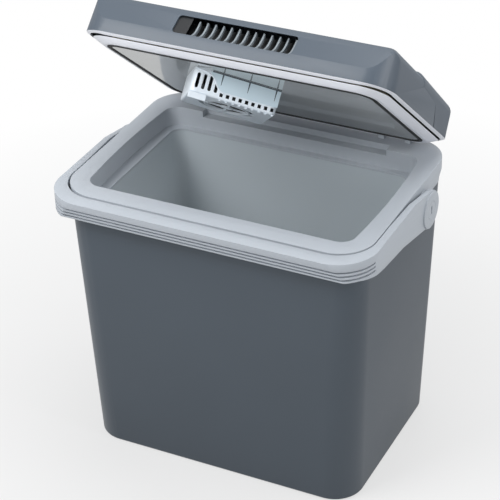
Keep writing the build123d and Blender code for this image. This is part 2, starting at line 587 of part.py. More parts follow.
# Handle: a front bar and two arms in one moulding, round the front of the collar.
handle_inner_half = COLLAR_HALF_WIDTH + HANDLE_SIDE_GAP
handle_far = PIVOT_Y + HANDLE_EYE_RADIUS + HANDLE_RADIUS
with BuildPart() as handle:
    with BuildSketch(Plane.YZ):
        with BuildLine():
            Polyline((HANDLE_FRONT, COLLAR_TOP), (HANDLE_FRONT + HANDLE_BAR_LEAN, BAR_FOOT_Z),
                     (HANDLE_INNER_FRONT, BAR_FOOT_Z), (ARM_BEND_Y, COLLAR_TOP - ARM_BEND_DROP),
                     (ARM_MIDDLE_Y, COLLAR_TOP - ARM_MIDDLE_DROP),
                     (PIVOT_Y - HANDLE_EYE_RADIUS * sin(radians(36)),
                      PIVOT_Z - HANDLE_EYE_RADIUS * cos(radians(36))),
                     (PIVOT_Y, PIVOT_Z), (PIVOT_Y + HANDLE_EYE_RADIUS * sin(radians(7)),
                                          PIVOT_Z + HANDLE_EYE_RADIUS * cos(radians(7))),
                     (PIVOT_Y - ARM_TOP_RUN, COLLAR_TOP), close=True)
        make_face()
        with Locations((PIVOT_Y, PIVOT_Z)):
            Circle(HANDLE_EYE_RADIUS)
    extrude(amount=HANDLE_HALF_WIDTH, both=True)
    extrude(plate(PIVOT_Z - HANDLE_EYE_RADIUS - 1, 2 * HANDLE_HALF_WIDTH, HANDLE_FRONT, handle_far,
                  HANDLE_RADIUS), amount=COLLAR_TOP - PIVOT_Z + HANDLE_EYE_RADIUS + 2,
            mode=Mode.INTERSECT)
    for side in (-1, 1):
        with BuildSketch(side_plane(side * EYE_INNER_X, PIVOT_Y, PIVOT_Z, side)):
            Circle(HANDLE_EYE_RADIUS - 1)
        extrude(amount=HANDLE_EYE_THICK)
    # room for the collar, wider beside the pivot lugs
    room_foot = PIVOT_Z - HANDLE_EYE_RADIUS
    room_front, room_back = ARM_MIDDLE_Y - HANDLE_EYE_RADIUS, PIVOT_Y + 2 * LUG_RADIUS
    extrude(plate(room_foot, 2 * handle_inner_half, HANDLE_INNER_FRONT, handle_far,
                  COLLAR_RADIUS + HANDLE_SIDE_GAP), amount=COLLAR_TOP - room_foot, mode=Mode.SUBTRACT)
    with BuildSketch(Plane.XY.offset(room_foot)):
        with BuildLine():
            Polyline((0, room_back), (EYE_INNER_X, room_back), (EYE_INNER_X, PIVOT_Y - LUG_RADIUS),
                     (handle_inner_half, room_front), (0, room_front), close=True)
        make_face()
        mirror(about=Plane.YZ)
    extrude(amount=COLLAR_TOP - room_foot, mode=Mode.SUBTRACT)
    # the bar is hollow from below
    bar_hollow_front = HANDLE_FRONT + HANDLE_BAR_LEAN + GROOVE_DEPTH + HANDLE_WALL
    bar_hollow_back = HANDLE_INNER_FRONT - HANDLE_WALL
    with BuildSketch(Plane((0, (bar_hollow_front + bar_hollow_back) / 2, BAR_FOOT_Z))):
        Rectangle(2 * (HANDLE_HALF_WIDTH - HANDLE_RADIUS), bar_hollow_back - bar_hollow_front)
    extrude(amount=HANDLE_BAR_DROP - HANDLE_WALL, mode=Mode.SUBTRACT)
    # three grooves round the front
    for row in range(GROOVE_COUNT):
        groove_drop = GROOVE_DROP + row * GROOVE_PITCH
        groove_z = COLLAR_TOP - groove_drop
        inset = GROOVE_DEPTH + HANDLE_BAR_LEAN * groove_drop / HANDLE_BAR_DROP
        with BuildSketch(Plane.XY.offset(groove_z - GROOVE_HEIGHT / 2)):
            with Locations((0, GROOVE_END_Y - HANDLE_RADIUS)):
                Rectangle(2 * HANDLE_HALF_WIDTH, 2 * HANDLE_RADIUS)
            add(plate(0, 2 * (HANDLE_HALF_WIDTH - GROOVE_DEPTH), HANDLE_FRONT + inset, handle_far,
                      HANDLE_RADIUS - GROOVE_DEPTH), mode=Mode.SUBTRACT)
        extrude(amount=GROOVE_HEIGHT, mode=Mode.SUBTRACT)
    # bores for the pivot pins and seats for their heads
    with BuildSketch(side_plane(0, PIVOT_Y, PIVOT_Z)):
        Circle(PIVOT_PIN_RADIUS + PIVOT_RUNNING_GAP)
    extrude(amount=HANDLE_EYE_X, both=True, mode=Mode.SUBTRACT)
    for side in (-1, 1):
        with BuildSketch(side_plane(side * HANDLE_EYE_X, PIVOT_Y, PIVOT_Z, side)):
            Circle(PIVOT_HEAD_RADIUS + SEAM_GAP)
        extrude(amount=-PIVOT_HEAD_THICK - SEAM_GAP, mode=Mode.SUBTRACT)
handle.part.label = "handle"
export_step(handle.part, "parts/handle.step")

# ---- Lid mouldings -------------------------------------------------------------------------------
vent_width, vent_height = VENT_RIGHT - VENT_LEFT, VENT_HEAD - VENT_FOOT
vent_plane = rear_plane((VENT_LEFT + VENT_RIGHT) / 2, LID_FRONT, COLLAR_TOP + (VENT_FOOT + VENT_HEAD) / 2)

# Lid shell: the front and top of the lid, with the vent's mouth in its front face.
with BuildPart() as lid_shell:
    add(lid_form(0))
    add(lid_form(LID_WALL), mode=Mode.SUBTRACT)
    add(cover_region(-SEAM_GAP), mode=Mode.SUBTRACT)
    with BuildSketch(vent_plane):
        RectangleRounded(vent_width, vent_height, VENT_RADIUS)
    extrude(amount=BROW_STEP + 2 * LID_WALL, both=True, mode=Mode.SUBTRACT)
lid_shell.part.label = "lid_shell"
export_step(opened(lid_shell.part), "parts/lid_shell.step")

# Rear cover: closes the back of the lid, with air slots on top and cut-outs for the electrics.
slot_front, slot_back = COVER_FRONT_Y + 2 * COVER_STEP, LID_BACK - COVER_SLOPE_RUN - COVER_STEP
with BuildPart() as rear_cover:
    add(lid_form(0))
    add(lid_form(LID_WALL), mode=Mode.SUBTRACT)
    add(cover_region(0, SEAM_FLARE), mode=Mode.INTERSECT)
    add(hinge_room(), mode=Mode.SUBTRACT)
    with BuildSketch(Plane((0, (slot_front + slot_back) / 2, COVER_TOP_Z))):
        with GridLocations(AIR_SLOT_PITCH, 1, AIR_SLOT_COUNT, 1):
            SlotOverall(AIR_SLOT_SHARE * (slot_back - slot_front), AIR_SLOT_WIDTH, rotation=90)
    extrude(amount=-COVER_TOP + COVER_BACK - 2 * LID_WALL, mode=Mode.SUBTRACT)
    with BuildSketch(rear_plane(0, LID_BACK)):
        with Locations((DC_SOCKET_X, 0)):
            Rectangle(DC_SOCKET_WIDTH + 2 * FIT, SOCKET_HEIGHT + 2 * FIT)
        with Locations((MAINS_SOCKET_X, 0)):
            Rectangle(MAINS_SOCKET_WIDTH + 2 * FIT, SOCKET_HEIGHT + 2 * FIT)
        Rectangle(SWITCH_CAP_WIDTH + SWITCH_TRAVEL + 4 * FIT, SWITCH_CAP_HEIGHT + 4 * FIT)
        with Locations(*[(x, 0) for x in LAMP_X]):
            Circle(LAMP_RADIUS + FIT)
    extrude(amount=2 * LID_WALL, both=True, mode=Mode.SUBTRACT)
rear_cover.part.label = "rear_cover"
export_step(opened(rear_cover.part), "parts/rear_cover.step")

# Lid frame: the pale band under the lid's edge, with the hinge knuckles on its back.
seal_outer_width = PANEL_WIDTH + 2 * (SEAL_WIDTH + SEAL_CLEARANCE)
seal_outer_front = PANEL_FRONT - SEAL_WIDTH - SEAL_CLEARANCE
seal_outer_back = PANEL_BACK + SEAL_WIDTH + SEAL_CLEARANCE
with BuildPart() as lid_frame:
    loft([plate(FRAME_FACE_Z, FRAME_FACE_WIDTH, FRAME_FACE_FRONT, HINGE_Y - FRAME_FACE_REACH,
                FRAME_FACE_RADIUS).face(),
          plate(LID_EDGE_Z, LID_WIDTH, LID_FRONT, LID_BACK, LID_RADIUS).face()], ruled=True)
    add(hinge_room(), mode=Mode.SUBTRACT)
    for side in (-1, 1):
        with BuildSketch(side_plane(side * HINGE_X, HINGE_Y, HINGE_Z)):
            Circle(KNUCKLE_RADIUS)
            with Locations((-KNUCKLE_RADIUS, (PLATE_Z + PLATE_TOP) / 2 - HINGE_Z)):
                Rectangle(2 * KNUCKLE_RADIUS, FRAME_PLATE)
        extrude(amount=KNUCKLE_LENGTH / 2, both=True)
    extrude(plate(PLATE_TOP, LID_WIDTH - 4 * LID_WALL, LID_FRONT + 2 * LID_WALL, LID_BACK - 2 * LID_WALL,
                  LID_RADIUS - 2 * LID_WALL), amount=LID_EDGE_Z - PLATE_TOP, mode=Mode.SUBTRACT)
    extrude(plate(FRAME_FACE_Z, seal_outer_width + 2 * SEAL_CLEARANCE, seal_outer_front - SEAL_CLEARANCE,
                  seal_outer_back + SEAL_CLEARANCE, PANEL_RADIUS + SEAL_WIDTH), amount=PANEL_THICK,
            mode=Mode.SUBTRACT)
    extrude(plate(PLATE_Z, PANEL_WIDTH - 2 * FRAME_WINDOW_MARGIN, PANEL_FRONT + FRAME_WINDOW_MARGIN,
                  PANEL_BACK - FRAME_WINDOW_MARGIN, PANEL_RADIUS), amount=FRAME_PLATE,
            mode=Mode.SUBTRACT)
    for side in (-1, 1):
        with BuildSketch(side_plane(side * HINGE_X, HINGE_Y, HINGE_Z)):
            Circle(HINGE_PIN_RADIUS + PIVOT_RUNNING_GAP)
        extrude(amount=KNUCKLE_LENGTH / 2, both=True, mode=Mode.SUBTRACT)
lid_frame.part.label = "lid_frame"
export_step(opened(lid_frame.part), "parts/lid_frame.step")

# Seal: a soft ring in the groove round the inner panel.
with BuildPart() as lid_seal:
    seal_foot = COLLAR_TOP + SEAL_CLEARANCE
    seal_thick = PLATE_Z - SEAL_CLEARANCE - seal_foot
    extrude(plate(seal_foot, seal_outer_width, seal_outer_front, seal_outer_back,
                  PANEL_RADIUS + SEAL_WIDTH), amount=seal_thick)
    extrude(plate(seal_foot, seal_outer_width - 2 * SEAL_WIDTH, seal_outer_front + SEAL_WIDTH,
                  seal_outer_back - SEAL_WIDTH, PANEL_RADIUS + SEAL_CLEARANCE), amount=seal_thick,
            mode=Mode.SUBTRACT)
lid_seal.part.label = "lid_seal"
export_step(opened(lid_seal.part), "parts/lid_seal.step")

# Inner panel: the smooth face above the food, with a window for the cold block.
with BuildPart() as lid_panel:
    extrude(plate(FRAME_FACE_Z, PANEL_WIDTH, PANEL_FRONT, PANEL_BACK, PANEL_RADIUS), amount=PANEL_THICK)
    with BuildSketch(unit_plane(FRAME_FACE_Z)):
        Rectangle(MODULE_SIDE + 2 * FIT, MODULE_SIDE + 2 * FIT)
    extrude(amount=PANEL_THICK, mode=Mode.SUBTRACT)
lid_panel.part.label = "lid_panel"
export_step(opened(lid_panel.part), "parts/lid_panel.step")

post_y = (CHASSIS_FRONT + POST_INSET, (CHASSIS_FRONT + CHASSIS_BACK) / 2, CHASSIS_BACK - POST_INSET)
post_spots = Locations(*[(x, y) for x in (-POST_X, POST_X) for y in post_y])

# Lid foam: two steps, the lower one inside the frame's window, round posts and cold block.
with BuildPart() as lid_foam:
    extrude(plate(PLATE_TOP + FIT, CHASSIS_WIDTH, CHASSIS_FRONT, CHASSIS_BACK, PANEL_RADIUS),
            amount=CHASSIS_Z - PLATE_TOP - 2 * FIT)
    extrude(plate(PLATE_Z + FIT, PANEL_WIDTH - 2 * FRAME_WINDOW_MARGIN - 2 * FIT,
                  PANEL_FRONT + FRAME_WINDOW_MARGIN + FIT, PANEL_BACK - FRAME_WINDOW_MARGIN - FIT,
                  PANEL_RADIUS), amount=FRAME_PLATE + FIT)
    with BuildSketch(unit_plane(PLATE_Z)):
        Rectangle(MODULE_SIDE + 2 * FIT, MODULE_SIDE + 2 * FIT)
    extrude(amount=CHASSIS_Z - PLATE_Z, mode=Mode.SUBTRACT)
    with BuildSketch(Plane.XY.offset(PLATE_Z)):
        with post_spots:
            Circle(POST_RADIUS + FIT)
    extrude(amount=CHASSIS_Z - PLATE_Z, mode=Mode.SUBTRACT)
lid_foam.part.label = "lid_foam"
export_step(opened(lid_foam.part), "parts/lid_foam.step")

# Vent grille: a surround behind the lid's front wall with upright slats between its rails.
with BuildPart() as vent_grille:
    add(lid_form(LID_WALL + FIT))
    add(lid_form(LID_WALL + FIT + SLAT_DEPTH), mode=Mode.SUBTRACT)
    with BuildSketch(vent_plane):
        RectangleRounded(vent_width + 2 * VENT_LAP, vent_height + VENT_LAP, VENT_RADIUS)
    extrude(amount=BROW_STEP + 2 * SLAT_DEPTH, both=True, mode=Mode.INTERSECT)
    with BuildSketch(vent_plane):
        with Locations((SLAT_PITCH / 2, 0)):
            with GridLocations(SLAT_PITCH, 1, SLAT_COUNT, 1):
                Rectangle(SLAT_PITCH - SLAT_THICK, vent_height)
    extrude(amount=BROW_STEP + 2 * SLAT_DEPTH, both=True, mode=Mode.SUBTRACT)
vent_grille.part.label = "vent_grille"
export_step(opened(vent_grille.part), "parts/vent_grille.step")

# ---- Cooling unit --------------------------------------------------------------------------------
board_spots = [(BOARD_X + x * (BOARD_WIDTH / 2 - BOARD_HOLE_INSET),
                BOARD_Y + y * (BOARD_DEPTH / 2 - BOARD_HOLE_INSET)) for x in (-1, 1) for y in (-1, 1)]

# Chassis: a plate on six posts that carries the heat sink, the fans and the board.
with BuildPart() as unit_chassis:
    extrude(plate(CHASSIS_Z, CHASSIS_WIDTH, CHASSIS_FRONT, CHASSIS_BACK, PANEL_RADIUS),
            amount=CHASSIS_THICK)
    with BuildSketch(Plane.XY.offset(PLATE_TOP)):
        with post_spots:
            Circle(POST_RADIUS)
    extrude(amount=CHASSIS_Z - PLATE_TOP)
    with BuildSketch(Plane.XY.offset(CHASSIS_TOP)):
        with Locations(*board_spots):
            Circle(POST_RADIUS)
    extrude(amount=BOARD_STANDOFF)
    with BuildSketch(unit_plane(CHASSIS_Z)):
        Rectangle(MODULE_SIDE + 2 * FIT, MODULE_SIDE + 2 * FIT)
    extrude(amount=CHASSIS_THICK, mode=Mode.SUBTRACT)
    with BuildSketch(Plane.XY.offset(PLATE_TOP)):
        with post_spots:
            Circle(POST_BORE)
        with Locations(*board_spots):
            Circle(POST_BORE)
    extrude(amount=BOARD_Z - PLATE_TOP, mode=Mode.SUBTRACT)
unit_chassis.part.label = "unit_chassis"
export_step(opened(unit_chassis.part), "parts/unit_chassis.step")


def screws(spots, top_z, length):
    """Pan-head screws standing in a plate whose top face is at top_z."""
    with BuildPart() as group:
        with BuildSketch(Plane.XY.offset(top_z)):
            with spots:
                Circle(2 * POST_BORE)
        extrude(amount=POST_BORE)
        with BuildSketch(Plane.XY.offset(top_z)):
            with spots:
                Circle(POST_BORE - FAN_RUNNING_GAP)
        extrude(amount=-length)
        with BuildSketch(Plane.XY.offset(top_z + POST_BORE)):
            with spots:
                Rectangle(2 * POST_BORE, POST_BORE / 2)
                Rectangle(POST_BORE / 2, 2 * POST_BORE)
        extrude(amount=-POST_BORE / 2, mode=Mode.SUBTRACT)
    return group.part


chassis_screws = screws(post_spots, CHASSIS_TOP, CHASSIS_TOP - PLATE_TOP - FIT)
chassis_screws.label = "chassis_screws"
export_step(opened(chassis_screws), "parts/chassis_screws.step")

# Thermoelectric module and the block that carries its cold to the heat sink below.
with BuildPart() as thermoelectric_module:
    with BuildSketch(unit_plane(CHASSIS_TOP - MODULE_THICK)):
        Rectangle(MODULE_SIDE, MODULE_SIDE)
    extrude(amount=MODULE_THICK)
thermoelectric_module.part.label = "thermoelectric_module"
export_step(opened(thermoelectric_module.part), "parts/thermoelectric_module.step")

with BuildPart() as cold_block:
    with BuildSketch(unit_plane(FRAME_FACE_Z)):
        Rectangle(MODULE_SIDE, MODULE_SIDE)
    extrude(amount=CHASSIS_TOP - MODULE_THICK - FRAME_FACE_Z)
cold_block.part.label = "cold_block"
export_step(opened(cold_block.part), "parts/cold_block.step")


def heat_sink(plane, width, depth, fin_height):
    """A base plate with upright fins, standing on a plane."""
    fin_count = int((width - FIN_THICK) / FIN_PITCH) + 1
    with BuildPart() as sink:
        with BuildSketch(plane):
            Rectangle(width, depth)
        extrude(amount=SINK_BASE)
        with BuildSketch(plane.offset(SINK_BASE)):
            with GridLocations(FIN_PITCH, 1, fin_count, 1):
                Rectangle(FIN_THICK, depth)
        extrude(amount=fin_height)
    return sink.part


hot_heatsink = heat_sink(unit_plane(CHASSIS_TOP), HOT_SINK_WIDTH, HOT_SINK_DEPTH, HOT_FIN_HEIGHT)
hot_heatsink.label = "hot_heatsink"
export_step(opened(hot_heatsink), "parts/hot_heatsink.step")

cold_heatsink = heat_sink(unit_plane(FRAME_FACE_Z, -1), COLD_SINK_WIDTH, COLD_SINK_DEPTH,
                          COLD_FIN_HEIGHT)
cold_heatsink.label = "cold_heatsink"
export_step(opened(cold_heatsink), "parts/cold_heatsink.step")


def fan_frame(plane):
    """A square axial fan frame on a plane, its hub and spindle held by four arms at the far face."""
    with BuildPart() as frame:
        with BuildSketch(plane):
            RectangleRounded(FAN_SIDE, FAN_SIDE, FAN_RADIUS)
            Circle(FAN_DUCT, mode=Mode.SUBTRACT)
            with GridLocations(FAN_SIDE - 2 * FAN_HOLE_INSET, FAN_SIDE - 2 * FAN_HOLE_INSET, 2, 2):
                Circle(POST_BORE, mode=Mode.SUBTRACT)
        extrude(amount=FAN_THICK)
        with BuildSketch(plane.offset(FAN_THICK - FAN_PLATE)):
            Circle(FAN_HUB)
            Rectangle(2 * FAN_DUCT + 1, FAN_ARM)
            Rectangle(FAN_ARM, 2 * FAN_DUCT + 1)
        extrude(amount=FAN_PLATE)
        with BuildSketch(plane.offset(FAN_END_GAP)):
            Circle(FAN_SPINDLE)
        extrude(amount=FAN_THICK - FAN_END_GAP)
    return frame.part


def fan_rotor(plane):
    """The hub and blades that turn on the frame's spindle."""
    hub_height = FAN_THICK - FAN_PLATE - 1.5 * FAN_END_GAP
    with BuildPart() as rotor:
        with BuildSketch(plane.offset(FAN_END_GAP)):
            Circle(FAN_HUB)
        extrude(amount=hub_height)
        blade_length = FAN_DUCT - BLADE_TIP_GAP - FAN_HUB + 1
        blade_middle = FAN_HUB - 1 + blade_length / 2
        with Locations(plane.offset(FAN_END_GAP + hub_height / 2)):
            with PolarLocations(blade_middle, BLADE_COUNT):
                with Locations(Location((0, 0, 0), (BLADE_PITCH, 0, 0))):
                    Box(blade_length, BLADE_CHORD, BLADE_THICK)
        with BuildSketch(plane):
            Circle(FAN_SPINDLE + FAN_RUNNING_GAP)
        extrude(amount=FAN_THICK, mode=Mode.SUBTRACT)
    return rotor.part


hot_fan_plane = unit_plane(HOT_FAN_Z)
cold_fan_plane = unit_plane(COLD_FAN_Z, -1)
hot_fan_frame = fan_frame(hot_fan_plane)
hot_fan_frame.label = "hot_fan_frame"
export_step(opened(hot_fan_frame), "parts/hot_fan_frame.step")
hot_fan_rotor = fan_rotor(hot_fan_plane)
hot_fan_rotor.label = "hot_fan_rotor"
export_step(opened(hot_fan_rotor), "parts/hot_fan_rotor.step")
cold_fan_frame = fan_frame(cold_fan_plane)
cold_fan_frame.label = "cold_fan_frame"
export_step(opened(cold_fan_frame), "parts/cold_fan_frame.step")
cold_fan_rotor = fan_rotor(cold_fan_plane)
cold_fan_rotor.label = "cold_fan_rotor"
export_step(opened(cold_fan_rotor), "parts/cold_fan_rotor.step")

# Cold fan cover: slotted box over the cold fan, with a round grille in its floor.
cover_plane = unit_plane(FRAME_FACE_Z, -1)
cover_front = Plane(origin=unit_plane(FRAME_FACE_Z).from_local_coords((0, -COVER_DEPTH / 2, 0)),
                    x_dir=unit_plane(0).x_dir, z_dir=-unit_plane(0).y_dir)
first_slot = -COVER_WIDTH / 2 + COVER_SLOT_START
with BuildPart() as cold_fan_cover:
    with BuildSketch(cover_plane):
        RectangleRounded(COVER_WIDTH, COVER_DEPTH, COVER_RADIUS)
    extrude(amount=COVER_HEIGHT)
    fillet(cold_fan_cover.edges().group_by(Axis.Z)[0], COVER_FILLET)
    with BuildSketch(cover_plane):
        RectangleRounded(COVER_WIDTH - 2 * COVER_WALL, COVER_DEPTH - 2 * COVER_WALL,
                         COVER_RADIUS - COVER_WALL)
    extrude(amount=COVER_HEIGHT - COVER_WALL, mode=Mode.SUBTRACT)
    # tall slots to the left of the front, small ones along its foot
    with BuildSketch(cover_front):
        for number in range(COVER_TALL_SLOTS):
            with Locations((first_slot + number * COVER_SLOT_PITCH, -COVER_HEIGHT / 2)):
                SlotOverall(COVER_SLOT_HEIGHT, COVER_SLOT_WIDTH, rotation=90)
        for number in range(COVER_SMALL_SLOTS):
            slot_x = first_slot + (COVER_TALL_SLOTS + number) * COVER_SLOT_PITCH
            with Locations((slot_x, -COVER_HEIGHT + COVER_SMALL_DROP)):
                Rectangle(COVER_SLOT_WIDTH, COVER_SMALL_HEIGHT)
    extrude(amount=-2 * COVER_WALL, both=True, mode=Mode.SUBTRACT)
    # round grille
    with BuildSketch(cover_plane.offset(COVER_HEIGHT - COVER_WALL)):
        Circle(GRILLE_RADIUS)
        ring_step = GRILLE_RADIUS / (GRILLE_RINGS + 1)
        for number in range(1, GRILLE_RINGS + 1):
            Circle(number * ring_step + 1, mode=Mode.SUBTRACT)
            if number > 1 or GRILLE_RINGS == 1:
                Circle(number * ring_step - 1, mode=Mode.ADD)
        Circle(ring_step + 1, mode=Mode.SUBTRACT)
        Rectangle(2 * GRILLE_RADIUS + 2, GRILLE_BAR, mode=Mode.SUBTRACT)
        Rectangle(GRILLE_BAR, 2 * GRILLE_RADIUS + 2, mode=Mode.SUBTRACT)
    extrude(amount=COVER_WALL, mode=Mode.SUBTRACT)
cold_fan_cover.part.label = "cold_fan_cover"
export_step(opened(cold_fan_cover.part), "parts/cold_fan_cover.step")

# ---- Electrics -----------------------------------------------------------------------------------
with BuildPart() as control_board:
    with BuildSketch(Plane((BOARD_X, BOARD_Y, BOARD_Z))):
        Rectangle(BOARD_WIDTH, BOARD_DEPTH)
    extrude(amount=BOARD_THICK)
    with BuildSketch(Plane.XY.offset(BOARD_Z)):
        with Locations(*board_spots):
            Circle(POST_BORE)
    extrude(amount=BOARD_THICK, mode=Mode.SUBTRACT)
control_board.part.label = "control_board"
export_step(opened(control_board.part), "parts/control_board.step")

board_top = BOARD_Z + BOARD_THICK
board_screws = screws(Locations(*board_spots), board_top, BOARD_THICK + BOARD_STANDOFF - FIT)
board_screws.label = "board_screws"
export_step(opened(board_screws), "parts/board_screws.step")

# Transformer: wound core on the board.
transformer_x = BOARD_X + TRANSFORMER_X
with BuildPart() as transformer:
    with BuildSketch(Plane((transformer_x, BOARD_Y, board_top))):
        Rectangle(CORE_WIDTH, CORE_DEPTH)
    extrude(amount=CORE_HEIGHT)
    with BuildSketch(rear_plane(transformer_x, BOARD_Y, board_top + CORE_HEIGHT / 2)):
        RectangleRounded(COIL_WIDTH, COIL_HEIGHT, 3)
    extrude(amount=COIL_LENGTH / 2, both=True)
transformer.part.label = "transformer"
export_step(opened(transformer.part), "parts/transformer.step")

with BuildPart() as capacitors:
    with BuildSketch(Plane((BOARD_X + CAPACITOR_X, BOARD_Y, board_top))):
        with GridLocations(3 * CAPACITOR_RADIUS, 3 * CAPACITOR_RADIUS, 2, 3):
            Circle(CAPACITOR_RADIUS)
    extrude(amount=CAPACITOR_HEIGHT)
    fillet(capacitors.edges().group_by(Axis.Z)[-1], CAPACITOR_RADIUS / 6)
capacitors.part.label = "capacitors"
export_step(opened(capacitors.part), "parts/capacitors.step")


def socket(middle_x, width):
    """A socket block through the rear cover, with a flange behind the wall."""
    with BuildPart() as block:
        with BuildSketch(rear_plane(middle_x, LID_BACK - FIT)):
            Rectangle(width, SOCKET_HEIGHT)
        extrude(amount=SOCKET_LENGTH)
        with BuildSketch(rear_plane(middle_x, LID_INNER_BACK)):
            Rectangle(width + 2 * SOCKET_FLANGE, SOCKET_HEIGHT + SOCKET_FLANGE)
        extrude(amount=SOCKET_FLANGE)
    return block.part


with BuildPart() as dc_socket:
    add(socket(DC_SOCKET_X, DC_SOCKET_WIDTH))
    with BuildSketch(rear_plane(DC_SOCKET_X, LID_BACK)):
        Circle(DC_BORE)
        Circle(DC_PIN, mode=Mode.SUBTRACT)
    extrude(amount=SOCKET_LENGTH - FIT, mode=Mode.SUBTRACT)
dc_socket.part.label = "dc_socket"
export_step(opened(dc_socket.part), "parts/dc_socket.step")

with BuildPart() as mains_socket:
    add(socket(MAINS_SOCKET_X, MAINS_SOCKET_WIDTH))
    with BuildSketch(rear_plane(MAINS_SOCKET_X, LID_BACK)):
        with Locations((-MAINS_BORE_X, 0), (MAINS_BORE_X, 0)):
            Circle(MAINS_BORE)
        Rectangle(2 * MAINS_BORE_X, 1.5 * MAINS_BORE)
        with Locations((-MAINS_BORE_X, 0), (MAINS_BORE_X, 0)):
            Circle(MAINS_PIN, mode=Mode.SUBTRACT)
    extrude(amount=SOCKET_LENGTH - FIT, mode=Mode.SUBTRACT)
mains_socket.part.label = "mains_socket"
export_step(opened(mains_socket.part), "parts/mains_socket.step")

# Lamps: two small lenses with a flange behind the wall.
with BuildPart() as status_lamps:
    for x in LAMP_X:
        with BuildSketch(rear_plane(x, LID_BACK + LAMP_PROUD)):
            Circle(LAMP_RADIUS)
        extrude(amount=LID_WALL + LAMP_PROUD)
        with BuildSketch(rear_plane(x, LID_INNER_BACK)):
            Circle(LAMP_RADIUS + 1)
        extrude(amount=SOCKET_FLANGE)
status_lamps.part.label = "status_lamps"
export_step(opened(status_lamps.part), "parts/status_lamps.step")

# Mode switch: a body on the inside of the wall and a slider that shows through its slot.
slide_plate_width = SWITCH_CAP_WIDTH + 4
slide_room = slide_plate_width + SWITCH_TRAVEL + 4 * FIT
slide_start = -SWITCH_TRAVEL / 2
with BuildPart() as switch_body:
    with BuildSketch(rear_plane(0, LID_INNER_BACK)):
        Rectangle(slide_room + 4, SOCKET_HEIGHT)
    extrude(amount=SWITCH_BODY_DEPTH)
    with BuildSketch(rear_plane(0, LID_INNER_BACK)):
        Rectangle(slide_room, SWITCH_CAP_HEIGHT + 2)
    extrude(amount=SLIDE_THICK + 2 * SEAM_GAP, mode=Mode.SUBTRACT)
switch_body.part.label = "switch_body"
export_step(opened(switch_body.part), "parts/switch_body.step")

with BuildPart() as mode_switch:
    slide_back = LID_INNER_BACK - SEAM_GAP
    with BuildSketch(rear_plane(slide_start, slide_back)):
        Rectangle(slide_plate_width, SWITCH_CAP_HEIGHT + 1.4)
    extrude(amount=SLIDE_THICK)
    with BuildSketch(rear_plane(slide_start, slide_back, way=1)):
        Rectangle(SWITCH_CAP_WIDTH, SWITCH_CAP_HEIGHT)
    extrude(amount=LID_WALL + SEAM_GAP + SWITCH_PROUD)
    with BuildSketch(rear_plane(slide_start, LID_BACK + SWITCH_PROUD, way=1)):
        with GridLocations(SWITCH_CAP_WIDTH / 4, 1, 3, 1):
            Rectangle(SWITCH_CAP_WIDTH / 10, SWITCH_CAP_HEIGHT)
    extrude(amount=-SWITCH_PROUD / 4, mode=Mode.SUBTRACT)
mode_switch.part.label = "mode_switch"
export_step(opened(mode_switch.part), "parts/mode_switch.step")
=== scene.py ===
# %% [markdown]
# # A cool box with its cooling unit in the lid
# The box stands on a pale floor with its lid propped open and its handle folded down in front.
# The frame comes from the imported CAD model: every part sits there at its real size, in metres, and
# rides on its own body, so that the lid, the handle, the fans and the switch can move.

# %% Load the frame
import json
from math import cos, pi, radians, sin, sqrt

import bmesh
import bpy
from mathutils import Matrix, Vector

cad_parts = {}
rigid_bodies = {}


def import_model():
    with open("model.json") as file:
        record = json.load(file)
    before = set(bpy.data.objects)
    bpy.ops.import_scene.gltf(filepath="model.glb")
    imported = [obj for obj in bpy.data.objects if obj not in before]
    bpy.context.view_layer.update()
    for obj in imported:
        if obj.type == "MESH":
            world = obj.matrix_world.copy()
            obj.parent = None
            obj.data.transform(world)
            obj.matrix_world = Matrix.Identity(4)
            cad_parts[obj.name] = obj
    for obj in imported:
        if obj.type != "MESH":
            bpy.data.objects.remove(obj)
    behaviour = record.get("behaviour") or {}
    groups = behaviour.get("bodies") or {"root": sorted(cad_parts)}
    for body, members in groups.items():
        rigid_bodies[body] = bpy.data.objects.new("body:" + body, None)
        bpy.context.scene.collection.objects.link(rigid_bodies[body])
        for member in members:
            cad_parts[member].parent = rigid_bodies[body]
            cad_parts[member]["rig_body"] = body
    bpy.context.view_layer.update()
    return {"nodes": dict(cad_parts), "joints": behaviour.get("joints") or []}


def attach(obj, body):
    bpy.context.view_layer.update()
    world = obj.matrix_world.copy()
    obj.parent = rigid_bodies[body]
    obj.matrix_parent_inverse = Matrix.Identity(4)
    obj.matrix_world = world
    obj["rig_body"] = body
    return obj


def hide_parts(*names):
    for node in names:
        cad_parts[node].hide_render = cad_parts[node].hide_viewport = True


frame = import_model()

MM = 0.001
nodes = frame["nodes"]
joints = {joint["name"]: joint for joint in frame["joints"]}
print("parts:", len(nodes), "joints:", len(joints))

# %% [markdown]
# The lid is easier to think about when it is shut, because its edges then run along the axes.
# So each lid piece is modelled shut, and its mesh is turned open about the hinge at the end.

# %% The lid's own directions
hinge = Vector(joints["lid_hinge"]["pos_m"])
open_angle = radians(-joints["lid_hinge"]["range_deg"][0])
open_turn = Matrix.Translation(hinge) @ Matrix.Rotation(-open_angle, 4, "X") @ Matrix.Translation(-hinge)
shut_turn = open_turn.inverted()


def shut_box(name):
    """Lowest and highest corner of a lid part with the lid shut."""
    corners = [shut_turn @ vertex.co for vertex in nodes[name].data.vertices]
    low = Vector([min(corner[axis] for corner in corners) for axis in range(3)])
    high = Vector([max(corner[axis] for corner in corners) for axis in range(3)])
    return low, high


FRAME_RISE = 1.0 * MM           # the lid frame lies this far above the collar
lid_front = shut_box("lid_frame")[0].y
collar_top = shut_box("lid_frame")[0].z - FRAME_RISE
print("lid opened by", round(open_angle * 180 / pi, 1), "degrees")

# %% [markdown]
# ## Shader maths
# A node tree is easier to read as an expression. `Wire` wraps one output socket, and `+` and `*` on
# it add Math nodes. `Finish` is one material: its `node` method adds any other node.


